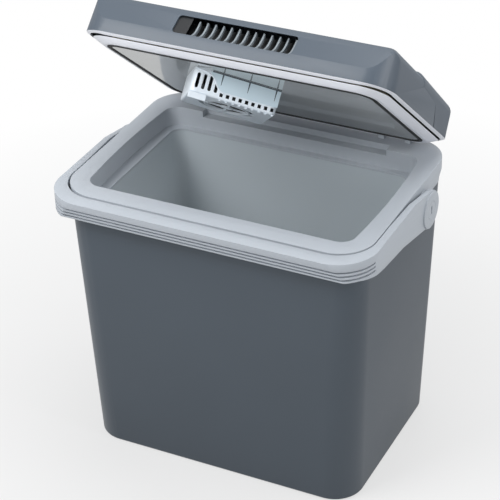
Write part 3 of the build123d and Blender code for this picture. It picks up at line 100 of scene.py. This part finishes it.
# %% A socket that can be added and multiplied
class Wire:
    """The output of a shader node."""

    def __init__(self, finish, socket):
        self.finish = finish
        self.socket = socket

    def maths(self, operation, other):
        return self.finish.node("ShaderNodeMath", {"operation": operation}, {0: self, 1: other})

    def __add__(self, other):
        return self.maths("ADD", other)

    def __mul__(self, other):
        return self.maths("MULTIPLY", other)


# %% A material and its one way to add nodes
class Finish:
    """A material with one Principled shader."""

    def __init__(self, name, **constants):
        self.material = bpy.data.materials.new(name)
        self.material.use_nodes = True
        self.tree = self.material.node_tree
        self.shader = self.tree.nodes["Principled BSDF"]
        for socket, value in constants.items():
            self.shader.inputs[socket.replace("_", " ")].default_value = value
        self.place = self.node("ShaderNodeTexCoord", output="Object")

    def node(self, kind, settings=None, values=None, output=0):
        """Add a node: settings first, then the values or wires of its sockets."""
        made = self.tree.nodes.new(kind)
        for setting, value in (settings or {}).items():
            setattr(made, setting, value)
        for socket, value in (values or {}).items():
            if isinstance(value, Wire):
                self.tree.links.new(value.socket, made.inputs[socket])
            else:
                made.inputs[socket].default_value = value
        return Wire(self, made.outputs[output])

    def noise(self, scale, detail=2.0, stretch=(1, 1, 1)):
        """Even noise around a half, at so many bumps a metre."""
        spot = self.node("ShaderNodeMapping", None, {"Vector": self.place, "Scale": stretch})
        return self.node("ShaderNodeTexNoise", None, {"Vector": spot, "Scale": scale, "Detail": detail})

    def blend(self, share, first, second):
        """A colour between two, by share."""
        return self.node("ShaderNodeMix", {"data_type": "RGBA"}, {0: share, 6: first, 7: second}, output=2)

    def feed(self, socket, wire):
        self.tree.links.new(wire.socket, self.shader.inputs[socket])

    def bump(self, height, distance):
        """Raise the surface by height times distance."""
        raised = self.node("ShaderNodeBump", None, {"Height": height, "Distance": distance, "Strength": 1.0})
        self.feed("Normal", raised)


def shade(colour, factor):
    """The same colour, lighter or darker."""
    return tuple(min(channel * factor, 1.0) for channel in colour[:3]) + (1.0,)


# %% [markdown]
# ## Moulded plastic
# Most of the box is injection-moulded plastic. Its mould was spark-eroded, which leaves a fine grain:
# tiny soft bumps that break up the highlight. The colour drifts a little over the part, and handling
# leaves patches that are slightly smoother. A slow noise drives the patches, a fine one the grain.


# %% Plastic finishes
PATCH_SCALE = 9.0               # patches of handling, noise bumps a metre
PATCH_DETAIL = 3.0
GRAIN_SCALE = 1600.0            # grain of the mould
PATCH_TONE, GRAIN_TONE = 0.85, 0.15             # their shares in the colour
PATCH_GLOSS, GRAIN_GLOSS = 0.12, 0.08           # and in the roughness
GLOSS_MIDDLE = 0.10             # half of what those two add


def moulded(name, colour, roughness, grain, drift=0.06, grain_scale=GRAIN_SCALE):
    """A grained, slightly uneven moulded plastic."""
    finish = Finish(name)
    slow = finish.noise(PATCH_SCALE, PATCH_DETAIL)
    fine = finish.noise(grain_scale)
    tone = slow * PATCH_TONE + fine * GRAIN_TONE
    finish.feed("Base Color", finish.blend(tone, shade(colour, 1 - drift), shade(colour, 1 + drift)))
    finish.feed("Roughness", slow * PATCH_GLOSS + fine * GRAIN_GLOSS + (roughness - GLOSS_MIDDLE))
    finish.bump(fine, grain)
    return finish.material


def srgb(text):
    """A hex colour as linear red, green and blue."""
    parts = [int(text[i:i + 2], 16) / 255 for i in (0, 2, 4)]
    linear = [p / 12.92 if p < 0.04045 else ((p + 0.055) / 1.055) ** 2.4 for p in parts]
    return tuple(linear) + (1.0,)


SLATE = moulded("slate_shell", srgb("414a53"), 0.34, 0.00003)
LID_GREY = moulded("lid_grey", srgb("49535e"), 0.45, 0.00003)
PALE = moulded("pale_grey", srgb("adb3ba"), 0.42, 0.00002, drift=0.02)
LINER = moulded("liner_grey", srgb("b9c1c6"), 0.38, 0.00001, drift=0.02)
FRAME_WHITE = moulded("frame_white", srgb("ebedf3"), 0.40, 0.00002, drift=0.015)
FAN_BLUE = moulded("fan_cover_blue", srgb("dde6ee"), 0.38, 0.00002, drift=0.02)
SLAT_GREY = moulded("slat_grey", srgb("4c5157"), 0.45, 0.00002)
RECESS_BLACK = moulded("recess_black", srgb("0d0f11"), 0.6, 0.00003)
# The blank plate is near black: partly its own dark plastic, partly painted shade for the vent's mouth.
BLANK_DARK_AND_PAINTED_SHADE = moulded("blank_dark_and_painted_shade", srgb("0f1216"), 0.4, 0.00002)
FIN_GREY = moulded("fin_grey", srgb("868e94"), 0.4, 0.00002)
PANEL_BLUE = moulded("panel_blue", srgb("c6d8e2"), 0.35, 0.00001, drift=0.015)
# Painted shade: a dark grey for the strips behind the fan cover's slits and for its painted shadow line.
PAINTED_SHADE_GREY = moulded("painted_shade_grey", srgb("3f4a54"), 0.5, 0.00002)
BLACK = moulded("black_plastic", srgb("1a1c1e"), 0.45, 0.00003)
RUBBER = moulded("black_rubber", srgb("121213"), 0.7, 0.00003)
FOAM = moulded("rigid_foam", srgb("e4dcb8"), 0.85, 0.0003, grain_scale=500.0)
CERAMIC = moulded("ceramic", srgb("eceae4"), 0.6, 0.00001)
print("plastics:", len(bpy.data.materials))


# %% [markdown]
# ## The glossy panel
# The panel under the lid is polished: it mirrors the rim and the floor behind the box. A thin clear
# layer over a pale grey does that, with a very slow waviness from the moulding.


# %% Glossy panel, metals, board and lamps
WAVE_SCALE = 14.0
WAVE_HEIGHT = 0.4 * MM
BRUSH_SCALE = 900.0
BRUSH_HEIGHT = 0.02 * MM
BRUSH_GLOSS = 0.2               # what the brushing adds to the roughness
LENS_SCALE = 300.0


def polished(name, colour):
    """A clear layer over an even plastic."""
    finish = Finish(name, Roughness=0.10, Coat_Weight=0.6, Coat_Roughness=0.04)
    slow = finish.noise(WAVE_SCALE, 1.0)
    finish.feed("Base Color", finish.blend(slow, shade(colour, 0.97), shade(colour, 1.03)))
    finish.bump(slow, WAVE_HEIGHT)
    return finish.material


def metal(name, colour, roughness, brush=(1, 1, 1)):
    """A metal with fine lines, stretched along one direction by brush."""
    finish = Finish(name, Metallic=1.0)
    lines = finish.noise(BRUSH_SCALE, 2.0, brush)
    finish.feed("Base Color", finish.blend(lines, shade(colour, 0.9), shade(colour, 1.06)))
    finish.feed("Roughness", lines * BRUSH_GLOSS + (roughness - BRUSH_GLOSS / 2))
    finish.bump(lines, BRUSH_HEIGHT)
    return finish.material


def lens(name, colour):
    """A faintly glowing coloured lens."""
    finish = Finish(name, Roughness=0.15, Transmission_Weight=0.3, Emission_Strength=0.4)
    slow = finish.noise(LENS_SCALE, 1.0)
    tint = finish.blend(slow, shade(colour, 0.9), shade(colour, 1.1))
    finish.feed("Base Color", tint)
    finish.feed("Emission Color", tint)
    return finish.material


PANEL = polished("polished_panel", srgb("a0a3a2"))
ALUMINIUM = metal("extruded_aluminium", srgb("d2d4d6"), 0.35, (1, 0.03, 1))
STEEL = metal("zinc_steel", srgb("bfc0c2"), 0.35)
COPPER = metal("enamelled_copper", srgb("b0683a"), 0.4, (0.05, 1, 1))
BOARD = moulded("board_green", srgb("1f5a35"), 0.35, 0.00002)
LAMP = lens("green_lens", srgb("58c46c"))
print("materials:", len(bpy.data.materials))

# %% [markdown]
# ## Dress the CAD parts
# Parts whose CAD shape is right keep it and only get a finish, through their material slots.

# %% Finishes of the CAD parts
finishes = {
    "outer_shell": SLATE, "inner_liner": LINER, "collar": PALE, "foot_pads": RUBBER,
    "hinge_pins": STEEL, "pivot_pins": PALE, "handle": PALE, "lid_shell": LID_GREY,
    "rear_cover": LID_GREY, "lid_frame": FRAME_WHITE, "lid_seal": RUBBER, "lid_panel": PANEL,
    "vent_grille": SLAT_GREY, "unit_chassis": BLACK, "chassis_screws": STEEL,
    "thermoelectric_module": CERAMIC, "cold_block": ALUMINIUM, "hot_heatsink": ALUMINIUM,
    "cold_heatsink": ALUMINIUM, "hot_fan_frame": BLACK, "hot_fan_rotor": BLACK,
    "cold_fan_frame": BLACK, "cold_fan_rotor": BLACK, "cold_fan_cover": FAN_BLUE,
    "control_board": BOARD, "board_screws": STEEL, "transformer": COPPER, "capacitors": BLACK,
    "dc_socket": BLACK, "mains_socket": BLACK, "status_lamps": LAMP, "switch_body": BLACK,
    "mode_switch": BLACK, "body_foam": FOAM, "lid_foam": FOAM,
}
for name, part in nodes.items():
    for slot in part.material_slots:
        slot.material = finishes[name]
print("dressed:", len(finishes))

# %% [markdown]
# ## Softened copies
# A CAD mesh is loose triangles with knife-sharp edges, and real mouldings have small radii that catch
# the light. A copy is merged, its flat areas are joined into whole faces, and a Bevel modifier
# rounds what is left. The lid's top is rounded much more along its two sides: it is cut lengthwise
# into strips there, and each strip's edges are drawn down along a quarter circle.


# %% Softened copy of a CAD part
SHOULDER_ROUND = 16.0 * MM      # radius of the rounding along both sides of the lid's top
SHOULDER_HALF = 191.2 * MM      # half the lid's width up there
SHOULDER_FOOT = 40.0 * MM       # the rounding takes effect from here up, above the collar
SHOULDER_TOP = 58.5 * MM
SHOULDER_STEPS = 6
MERGE_DISTANCE = 0.01 * MM
CUT_DISTANCE = 0.001 * MM       # a vertex this near a cut counts as on it
FLAT_ANGLE = radians(0.6)       # faces that meet at less than this are one face
EDGE_SEGMENTS = 3


def round_shoulder(bm):
    """Draw the sides of the lid's top down along a quarter circle."""
    bmesh.ops.transform(bm, matrix=shut_turn, verts=bm.verts)
    for side in (-1, 1):
        for step in range(1, SHOULDER_STEPS + 1):
            inward = SHOULDER_ROUND * (1 - cos(step * pi / 2 / SHOULDER_STEPS))
            bmesh.ops.bisect_plane(bm, geom=bm.verts[:] + bm.edges[:] + bm.faces[:],
                                   dist=CUT_DISTANCE,
                                   plane_co=(side * (SHOULDER_HALF - inward), 0, 0), plane_no=(1, 0, 0))
    for vertex in bm.verts:
        height = vertex.co.z - collar_top
        share = min(max((height - SHOULDER_FOOT) / (SHOULDER_TOP - SHOULDER_FOOT), 0.0), 1.0)
        inward = min(max(SHOULDER_HALF - abs(vertex.co.x), 0.0), SHOULDER_ROUND)
        drop = SHOULDER_ROUND - sqrt(SHOULDER_ROUND ** 2 - (SHOULDER_ROUND - inward) ** 2)
        vertex.co.z -= drop * share
    bmesh.ops.transform(bm, matrix=open_turn, verts=bm.verts)


def softened(name, radius, angle, shoulder):
    """A copy of a CAD part with rounded edges."""
    part = nodes[name]
    bm = bmesh.new()
    bm.from_mesh(part.data)
    bmesh.ops.remove_doubles(bm, verts=bm.verts, dist=MERGE_DISTANCE)
    bmesh.ops.dissolve_limit(bm, angle_limit=FLAT_ANGLE, verts=bm.verts, edges=bm.edges)
    if shoulder:
        round_shoulder(bm)
    mesh = bpy.data.meshes.new(name + "_moulding")
    bm.to_mesh(mesh)
    bm.free()
    piece = bpy.data.objects.new(name + "_moulding", mesh)
    bpy.context.scene.collection.objects.link(piece)
    mesh.materials.clear()
    mesh.materials.append(finishes[name])
    mesh.shade_smooth()
    bevel = piece.modifiers.new("edge radius", "BEVEL")
    bevel.width = radius
    bevel.segments = EDGE_SEGMENTS
    bevel.limit_method = "ANGLE"
    bevel.angle_limit = radians(angle)
    bevel.harden_normals = True
    bevel.use_clamp_overlap = True
    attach(piece, part["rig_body"])
    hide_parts(name)
    print(name, "softened by", round(radius / MM, 1), "mm")


# Each row: part, edge radius in millimetres, sharpest angle left alone, whether its shoulder is rounded.
for name, radius, angle, shoulder in (
        ("outer_shell", 0.8, 28, False), ("collar", 0.9, 28, False), ("handle", 1.2, 28, False),
        ("lid_shell", 0.8, 19, True), ("rear_cover", 0.8, 19, True), ("lid_frame", 0.3, 20, False),
        ("cold_fan_cover", 0.5, 28, False)):
    softened(name, radius * MM, angle, shoulder)

# %% [markdown]
# ## Modelling new pieces
# A new piece is a few outlines, each pushed along a depth into a closed solid. `ride_lid` turns the
# finished mesh open with the lid, rounds its edges with a Bevel modifier and hands it to the lid body.


# %% From outline to finished piece
PIECE_SEGMENTS = 2


def prism(bm, outline, depth):
    """A closed solid: a flat outline pushed along depth."""
    face = bm.faces.new([bm.verts.new(point) for point in outline])
    pushed = bmesh.ops.extrude_face_region(bm, geom=[face])["geom"]
    corners = [part for part in pushed if isinstance(part, bmesh.types.BMVert)]
    bmesh.ops.translate(bm, vec=depth, verts=corners)


def ride_lid(name, bm, finish, edge=0.0, replaced=()):
    """Make an object of a mesh that was modelled on the shut lid."""
    bmesh.ops.recalc_face_normals(bm, faces=bm.faces)
    bmesh.ops.transform(bm, matrix=open_turn, verts=bm.verts)
    mesh = bpy.data.meshes.new(name)
    bm.to_mesh(mesh)
    bm.free()
    mesh.materials.append(finish)
    piece = bpy.data.objects.new(name, mesh)
    bpy.context.scene.collection.objects.link(piece)
    if edge:
        mesh.shade_smooth()
        bevel = piece.modifiers.new("edge radius", "BEVEL")
        bevel.width = edge
        bevel.segments = PIECE_SEGMENTS
        bevel.limit_method = "ANGLE"
        bevel.harden_normals = True
    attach(piece, "lid")
    if replaced:
        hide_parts(*replaced)
    print(name, len(mesh.polygons), "faces")
    return piece


# %% [markdown]
# ## The vent in the leaning face
# The mouth leads into a black recess. Thirteen curved fins stand in it: each starts at the face at
# the mouth's foot and draws back as it rises. The left end of the mouth is blanked with a plate.
# The sizes below are in millimetres, with heights counted from the collar.

# %% Vent sizes
CREASE_HEIGHT = 25.0
CREASE_STEP = 0.5
FACE_RISE = 25.0
FACE_LEAN = 11.8
VENT_LEFT, VENT_RIGHT = -76.0, 74.0
VENT_FOOT, VENT_HEAD = 25.0, 48.5
RECESS_START, RECESS_DEPTH = 2.6, 15.0
RECESS_LAP = 3.0                # the recess reaches this far behind the mouth's edge
HEAD_LAP = 1.0                  # but only this far at the head
RECESS_WALL = 1.5
BLANK_TO_FIN = 6.5
BLANK_LAP = 1.0
BLANK_INSET, BLANK_THICK = 2.2, 1.6
BLANK_EDGE = 0.3
FIN_FIRST, FIN_PITCH, FIN_COUNT = -52.0, 10.08, 13
FIN_THICK = 2.2
# Along a fin's front edge: how far it lies behind the face, and how high.
FIN_PROFILE = ((0.8, 25.2), (3.6, 28.5), (5.6, 32.5), (6.4, 37.0), (6.4, 42.0), (5.6, 48.3))
FIN_DEPTH = 5.0
FIN_EDGE = 0.35
outward = Vector((0, -FACE_RISE, FACE_LEAN)).normalized()


def on_face(x, height, inset):
    """A point of the leaning face, set back from it by inset; all in millimetres."""
    lean = CREASE_STEP + (height - CREASE_HEIGHT) * FACE_LEAN / FACE_RISE
    face = Vector((x * MM, lid_front + lean * MM, collar_top + height * MM))
    return face - outward * inset * MM


def face_plate(bm, left, right, foot, head, front, depth):
    """A flat plate parallel to the leaning face."""
    corners = [on_face(left, foot, front), on_face(right, foot, front),
               on_face(right, head, front), on_face(left, head, front)]
    prism(bm, corners, outward * -depth * MM)


# %% Recess, blank plate and fins
bm = bmesh.new()
left, right = VENT_LEFT - RECESS_LAP, VENT_RIGHT + RECESS_LAP
foot, head = VENT_FOOT - RECESS_LAP, VENT_HEAD + HEAD_LAP
face_plate(bm, left, right, foot, head, RECESS_DEPTH, RECESS_WALL)
face_plate(bm, left, left + RECESS_WALL, foot, head, RECESS_START, RECESS_DEPTH - RECESS_START)
face_plate(bm, right - RECESS_WALL, right, foot, head, RECESS_START, RECESS_DEPTH - RECESS_START)
face_plate(bm, left, right, foot, foot + RECESS_WALL, RECESS_START, RECESS_DEPTH - RECESS_START)
ride_lid("vent_recess", bm, RECESS_BLACK, replaced=("vent_grille",))

# Painted shade: the blank plate's near-black colour also stands in for the shade in the vent's mouth.
bm = bmesh.new()
face_plate(bm, VENT_LEFT - BLANK_LAP, FIN_FIRST - BLANK_TO_FIN, VENT_FOOT - BLANK_LAP,
           VENT_HEAD + BLANK_LAP, BLANK_INSET, BLANK_THICK)
ride_lid("vent_blank", bm, BLANK_DARK_AND_PAINTED_SHADE, BLANK_EDGE * MM)

bm = bmesh.new()
for index in range(FIN_COUNT):
    x = FIN_FIRST + index * FIN_PITCH
    front = [on_face(x, height, inset) for inset, height in FIN_PROFILE]
    rear = [on_face(x, height, inset + FIN_DEPTH) for inset, height in reversed(FIN_PROFILE)]
    prism(bm, front + rear, Vector((FIN_THICK * MM, 0, 0)))
ride_lid("vent_fins", bm, FIN_GREY, FIN_EDGE * MM)

# %% [markdown]
# ## The fan cover's front
# An S-shaped ridge parts the tall slots from a pale blue panel. Three narrow slits taper down the
# panel from its top edge, and a tab hangs below the left corner. The cover is turned with the unit,
# so its own directions are used, in millimetres: a runs along its front to the right, b from its front
# to its back, and c upwards from the frame's face, so that the front stands at b = -50.

# %% Fan cover sizes and directions
UNIT_X, UNIT_Y = -37.0, -13.0
UNIT_TURN = radians(30.0)
COVER_FRONT = -50.0
frame_face = shut_box("lid_frame")[0].z
RIDGE = ((-50.5, -1.4), (-44, -1.9), (-37, -3.0), (-31, -5.2), (-26.5, -9), (-22.5, -15),
         (-18, -20.5), (-12.5, -22.6))
RIDGE_RADIUS = 0.9
RIDGE_PROUD = 0.2
SLIT_AT = (-18.0, 14.0, 46.5)
SLIT_HALF, SLIT_TIP_HALF, SLIT_FOOT = 0.95, 0.3, -14.0
SLIT_BACK_HALF, SLIT_BACK_PROUD = 1.5, 0.15     # painted shade: dark strips stand for the shade inside the slits
# A painted shadow line runs along the panel's top edge.
SHADOW_LEFT, SHADOW_TOP, SHADOW_PROUD = -31.0, -0.1, 0.3
STRIP_SUNK = 0.3                # the painted shade strips start this far inside the cover
PANEL_LEFT, PANEL_RIGHT = -33.5, 52.0
PANEL_TOP, PANEL_LOW = -1.4, -20.5
PANEL_CURVE = ((-16.5, PANEL_LOW), (-20.5, -17.5), (-24.5, -12.0), (-28.5, -7.0))
PANEL_PROUD = 0.8
COVER_FOOT = -30.0
TAB_LEFT, TAB_RIGHT = -52.0, -31.0
TAB_TOP, TAB_FOOT = 0.5, -7.0   # from the cover's foot
TAB_BACK, TAB_PROUD = 4.0, 0.8
TAB_EDGE = 0.6
RIB_COUNT, RIB_FIRST, RIB_PITCH = 9, -14.6, 7.9
RIB_HALF, RIB_TOP, RIB_FOOT = 1.1, 0.2, -1.4
RIB_BACK, RIB_FRONT = 9.0, 0.5
RIB_EDGE = 0.3


def on_cover(a, b, c):
    """A point from the cover's own directions, in millimetres."""
    return Vector(((UNIT_X + a * cos(UNIT_TURN) - b * sin(UNIT_TURN)) * MM,
                   (UNIT_Y + a * sin(UNIT_TURN) + b * cos(UNIT_TURN)) * MM, frame_face + c * MM))


forward = on_cover(0, -1, 0) - on_cover(0, 0, 0)


def cover_block(bm, a_span, b_span, c_span):
    """A block along the cover's own directions."""
    outline = [on_cover(a_span[0], b_span[0], c_span[0]), on_cover(a_span[1], b_span[0], c_span[0]),
               on_cover(a_span[1], b_span[0], c_span[1]), on_cover(a_span[0], b_span[0], c_span[1])]
    prism(bm, outline, on_cover(0, b_span[1], 0) - on_cover(0, b_span[0], 0))


# %% Panel with its slits
top_edge = [(PANEL_LEFT, PANEL_TOP)]
for at in SLIT_AT:
    top_edge += [(at - SLIT_HALF, PANEL_TOP), (at - SLIT_TIP_HALF, SLIT_FOOT),
                 (at + SLIT_TIP_HALF, SLIT_FOOT), (at + SLIT_HALF, PANEL_TOP)]
outline = top_edge + [(PANEL_RIGHT, PANEL_TOP), (PANEL_RIGHT, PANEL_LOW), *PANEL_CURVE]
bm = bmesh.new()
prism(bm, [on_cover(a, COVER_FRONT, c) for a, c in outline], forward * PANEL_PROUD)
ride_lid("fan_cover_panel", bm, PANEL_BLUE)

# Painted shade: dark strips behind the three slits, and a painted shadow line along the panel's top edge.
bm = bmesh.new()
for at in SLIT_AT:
    cover_block(bm, (at - SLIT_BACK_HALF, at + SLIT_BACK_HALF),
                (COVER_FRONT + STRIP_SUNK, COVER_FRONT - SLIT_BACK_PROUD), (PANEL_TOP, SLIT_FOOT))
cover_block(bm, (SHADOW_LEFT, PANEL_RIGHT), (COVER_FRONT + STRIP_SUNK, COVER_FRONT - SHADOW_PROUD),
            (SHADOW_TOP, PANEL_TOP))
ride_lid("fan_cover_painted_shade", bm, PAINTED_SHADE_GREY)

# %% Ridge, tab and comb
curve = bpy.data.curves.new("ridge_line", "CURVE")
curve.dimensions = "3D"
curve.bevel_depth = RIDGE_RADIUS * MM
curve.bevel_resolution = 3
curve.use_fill_caps = True
spline = curve.splines.new("NURBS")
spline.points.add(len(RIDGE) - 1)
for point, (a, c) in zip(spline.points, RIDGE):
    point.co = (*on_cover(a, COVER_FRONT - RIDGE_PROUD, c), 1)
spline.order_u = 3
spline.use_endpoint_u = True
line = bpy.data.objects.new("ridge_line", curve)
ridge_mesh = bpy.data.meshes.new_from_object(line)
bpy.data.objects.remove(line)
bm = bmesh.new()
bm.from_mesh(ridge_mesh)
bpy.data.meshes.remove(ridge_mesh)
ridge = ride_lid("fan_cover_ridge", bm, FAN_BLUE)
ridge.data.shade_smooth()

bm = bmesh.new()
cover_block(bm, (TAB_LEFT, TAB_RIGHT), (COVER_FRONT + TAB_BACK, COVER_FRONT - TAB_PROUD),
            (COVER_FOOT + TAB_TOP, COVER_FOOT + TAB_FOOT))
ride_lid("fan_cover_tab", bm, FAN_BLUE, TAB_EDGE * MM)

bm = bmesh.new()
for index in range(RIB_COUNT):
    a = RIB_FIRST + index * RIB_PITCH
    cover_block(bm, (a - RIB_HALF, a + RIB_HALF), (COVER_FRONT + RIB_BACK, COVER_FRONT + RIB_FRONT),
                (COVER_FOOT + RIB_TOP, COVER_FOOT + RIB_FOOT))
ride_lid("fan_cover_comb", bm, FAN_BLUE, RIB_EDGE * MM)

# %% [markdown]
# ## Floor, world, lamps and camera
# The floor is a large plane. It scatters light as a mid grey, so that the foot of the box stays darker
# than its top. The camera, and mirror and glass rays, also see white paper mixed into it, more of it
# further from the box, so that the shadow near the box is kept.

# %% Floor
FLOOR_HALF = 6.0
FLOOR_DARK, FLOOR_LIGHT = (0.53, 0.53, 0.53, 1), (0.56, 0.56, 0.56, 1)
FLOOR_PATCHES = 3.0
PAPER_NEAR, PAPER_FAR = 0.62, 1.0       # share of white paper by the box and away from it
NEAR, FAR = 0.2, 0.9                    # metres from the middle
MIRROR_SHARE = 0.45                     # mirror rays see this much of the paper
bm = bmesh.new()
bmesh.ops.create_grid(bm, x_segments=1, y_segments=1, size=FLOOR_HALF)
floor_mesh = bpy.data.meshes.new("floor")
bm.to_mesh(floor_mesh)
bm.free()
floor = bpy.data.objects.new("floor", floor_mesh)
bpy.context.scene.collection.objects.link(floor)
floor_finish = Finish("floor_white", Roughness=0.9, Specular_IOR_Level=0.1)
floor_tone = floor_finish.noise(FLOOR_PATCHES)
floor_finish.feed("Base Color", floor_finish.blend(floor_tone, FLOOR_DARK, FLOOR_LIGHT))
away = floor_finish.node("ShaderNodeVectorMath", {"operation": "LENGTH"}, {0: floor_finish.place}, "Value")
rays = floor_finish.node("ShaderNodeLightPath", output="Is Camera Ray")
mirrored = Wire(floor_finish, rays.socket.node.outputs["Is Glossy Ray"])
through = Wire(floor_finish, rays.socket.node.outputs["Is Transmission Ray"])
glow = floor_finish.node("ShaderNodeMapRange", None, {
    "Value": away, "From Min": NEAR, "From Max": FAR, "To Min": PAPER_NEAR, "To Max": PAPER_FAR})
paper = floor_finish.node("ShaderNodeEmission", None, {"Strength": 1.0})
share = floor_finish.node("ShaderNodeMath", {"operation": "MULTIPLY", "use_clamp": True},
                          {0: glow, 1: rays + mirrored * MIRROR_SHARE + through})
floor_mix = floor_finish.node("ShaderNodeMixShader", None, {
    0: share, 1: Wire(floor_finish, floor_finish.shader.outputs[0]), 2: paper})
floor_finish.tree.links.new(floor_mix.socket, floor_finish.tree.nodes["Material Output"].inputs["Surface"])
floor_mesh.materials.append(floor_finish.material)
print("floor:", 2 * FLOOR_HALF, "m across")

# %% [markdown]
# The world gives a weak, slightly blue fill light. The camera, and mirror and glass rays, see plain
# white instead.

# %% World
FILL_COLOUR = (0.93, 0.96, 1.0, 1)
FILL_STRENGTH = 0.36
world = bpy.data.worlds.new("studio")
bpy.context.scene.world = world
world.use_nodes = True
sky = world.node_tree
background = sky.nodes["Background"]
background.inputs["Color"].default_value = FILL_COLOUR
background.inputs["Strength"].default_value = FILL_STRENGTH
backdrop = sky.nodes.new("ShaderNodeBackground")
backdrop.inputs["Color"].default_value = (1, 1, 1, 1)
backdrop.inputs["Strength"].default_value = 1.0
ray = sky.nodes.new("ShaderNodeLightPath")
seen = sky.nodes.new("ShaderNodeMath")
seen.operation = "MAXIMUM"
sky.links.new(ray.outputs["Is Camera Ray"], seen.inputs[0])
glossy = sky.nodes.new("ShaderNodeMath")
glossy.operation = "MAXIMUM"
sky.links.new(ray.outputs["Is Glossy Ray"], glossy.inputs[0])
sky.links.new(ray.outputs["Is Transmission Ray"], glossy.inputs[1])
sky.links.new(glossy.outputs[0], seen.inputs[1])
mixer = sky.nodes.new("ShaderNodeMixShader")
sky.links.new(seen.outputs[0], mixer.inputs[0])
sky.links.new(background.outputs[0], mixer.inputs[1])
sky.links.new(backdrop.outputs[0], mixer.inputs[2])
sky.links.new(mixer.outputs[0], sky.nodes["World Output"].inputs["Surface"])
print("world nodes:", len(sky.nodes))

# %% [markdown]
# Four soft lamps: the key from the front and above, one from the right for the box's side, a weak low
# one that reaches under the open lid, and one from above and behind for the lid's top.


# %% Lamps
def softbox(name, place, aim, size, power):
    """A square soft lamp, in metres and watts, turned towards aim."""
    lamp = bpy.data.lights.new(name, "AREA")
    lamp.size = size
    lamp.energy = power
    holder = bpy.data.objects.new(name, lamp)
    holder.location = place
    holder.rotation_euler = (Vector(aim) - Vector(place)).to_track_quat("-Z", "Y").to_euler()
    bpy.context.scene.collection.objects.link(holder)


softbox("key", (-0.6, -0.95, 1.45), (0, -0.1, 0.42), 0.8, 18)
softbox("side", (1.6, -0.1, 1.15), (0.2, 0, 0.4), 0.8, 12)
softbox("under", (0.1, -1.5, 0.55), (0, 0.05, 0.42), 0.5, 3)
softbox("top", (0.2, 0.6, 2.4), (0, 0, 0.25), 1.4, 22)
print("lamps:", len(bpy.data.lights))

# %% [markdown]
# The camera looks down at the box from the front right, with a long lens and a slight roll.

# %% Camera
LENS, SENSOR = 134.9, 36.0      # millimetres
AZIMUTH = radians(26.79)
ELEVATION = radians(32.0)
ROLL = radians(-1.58)
DISTANCE = 1.1975
TARGET = Vector((0.41274, -0.8412, 0.8348))     # a point on the camera's line of sight
back = Vector((sin(AZIMUTH) * cos(ELEVATION), -cos(AZIMUTH) * cos(ELEVATION), sin(ELEVATION)))
right = (-back).cross(Vector((0, 0, 1))).normalized()
up = right.cross(-back)
rolled_right = cos(ROLL) * right + sin(ROLL) * up
rolled_up = cos(ROLL) * up - sin(ROLL) * right
camera_data = bpy.data.cameras.new("camera")
camera_data.lens = LENS
camera_data.sensor_width = SENSOR
camera = bpy.data.objects.new("camera", camera_data)
camera.matrix_world = Matrix.Translation(TARGET + DISTANCE * back) @ Matrix(
    (rolled_right, rolled_up, back)).transposed().to_4x4()
bpy.context.scene.collection.objects.link(camera)
bpy.context.scene.camera = camera
bpy.context.scene.view_settings.view_transform = "Standard"
print("camera at", [round(v, 3) for v in camera.matrix_world.translation])
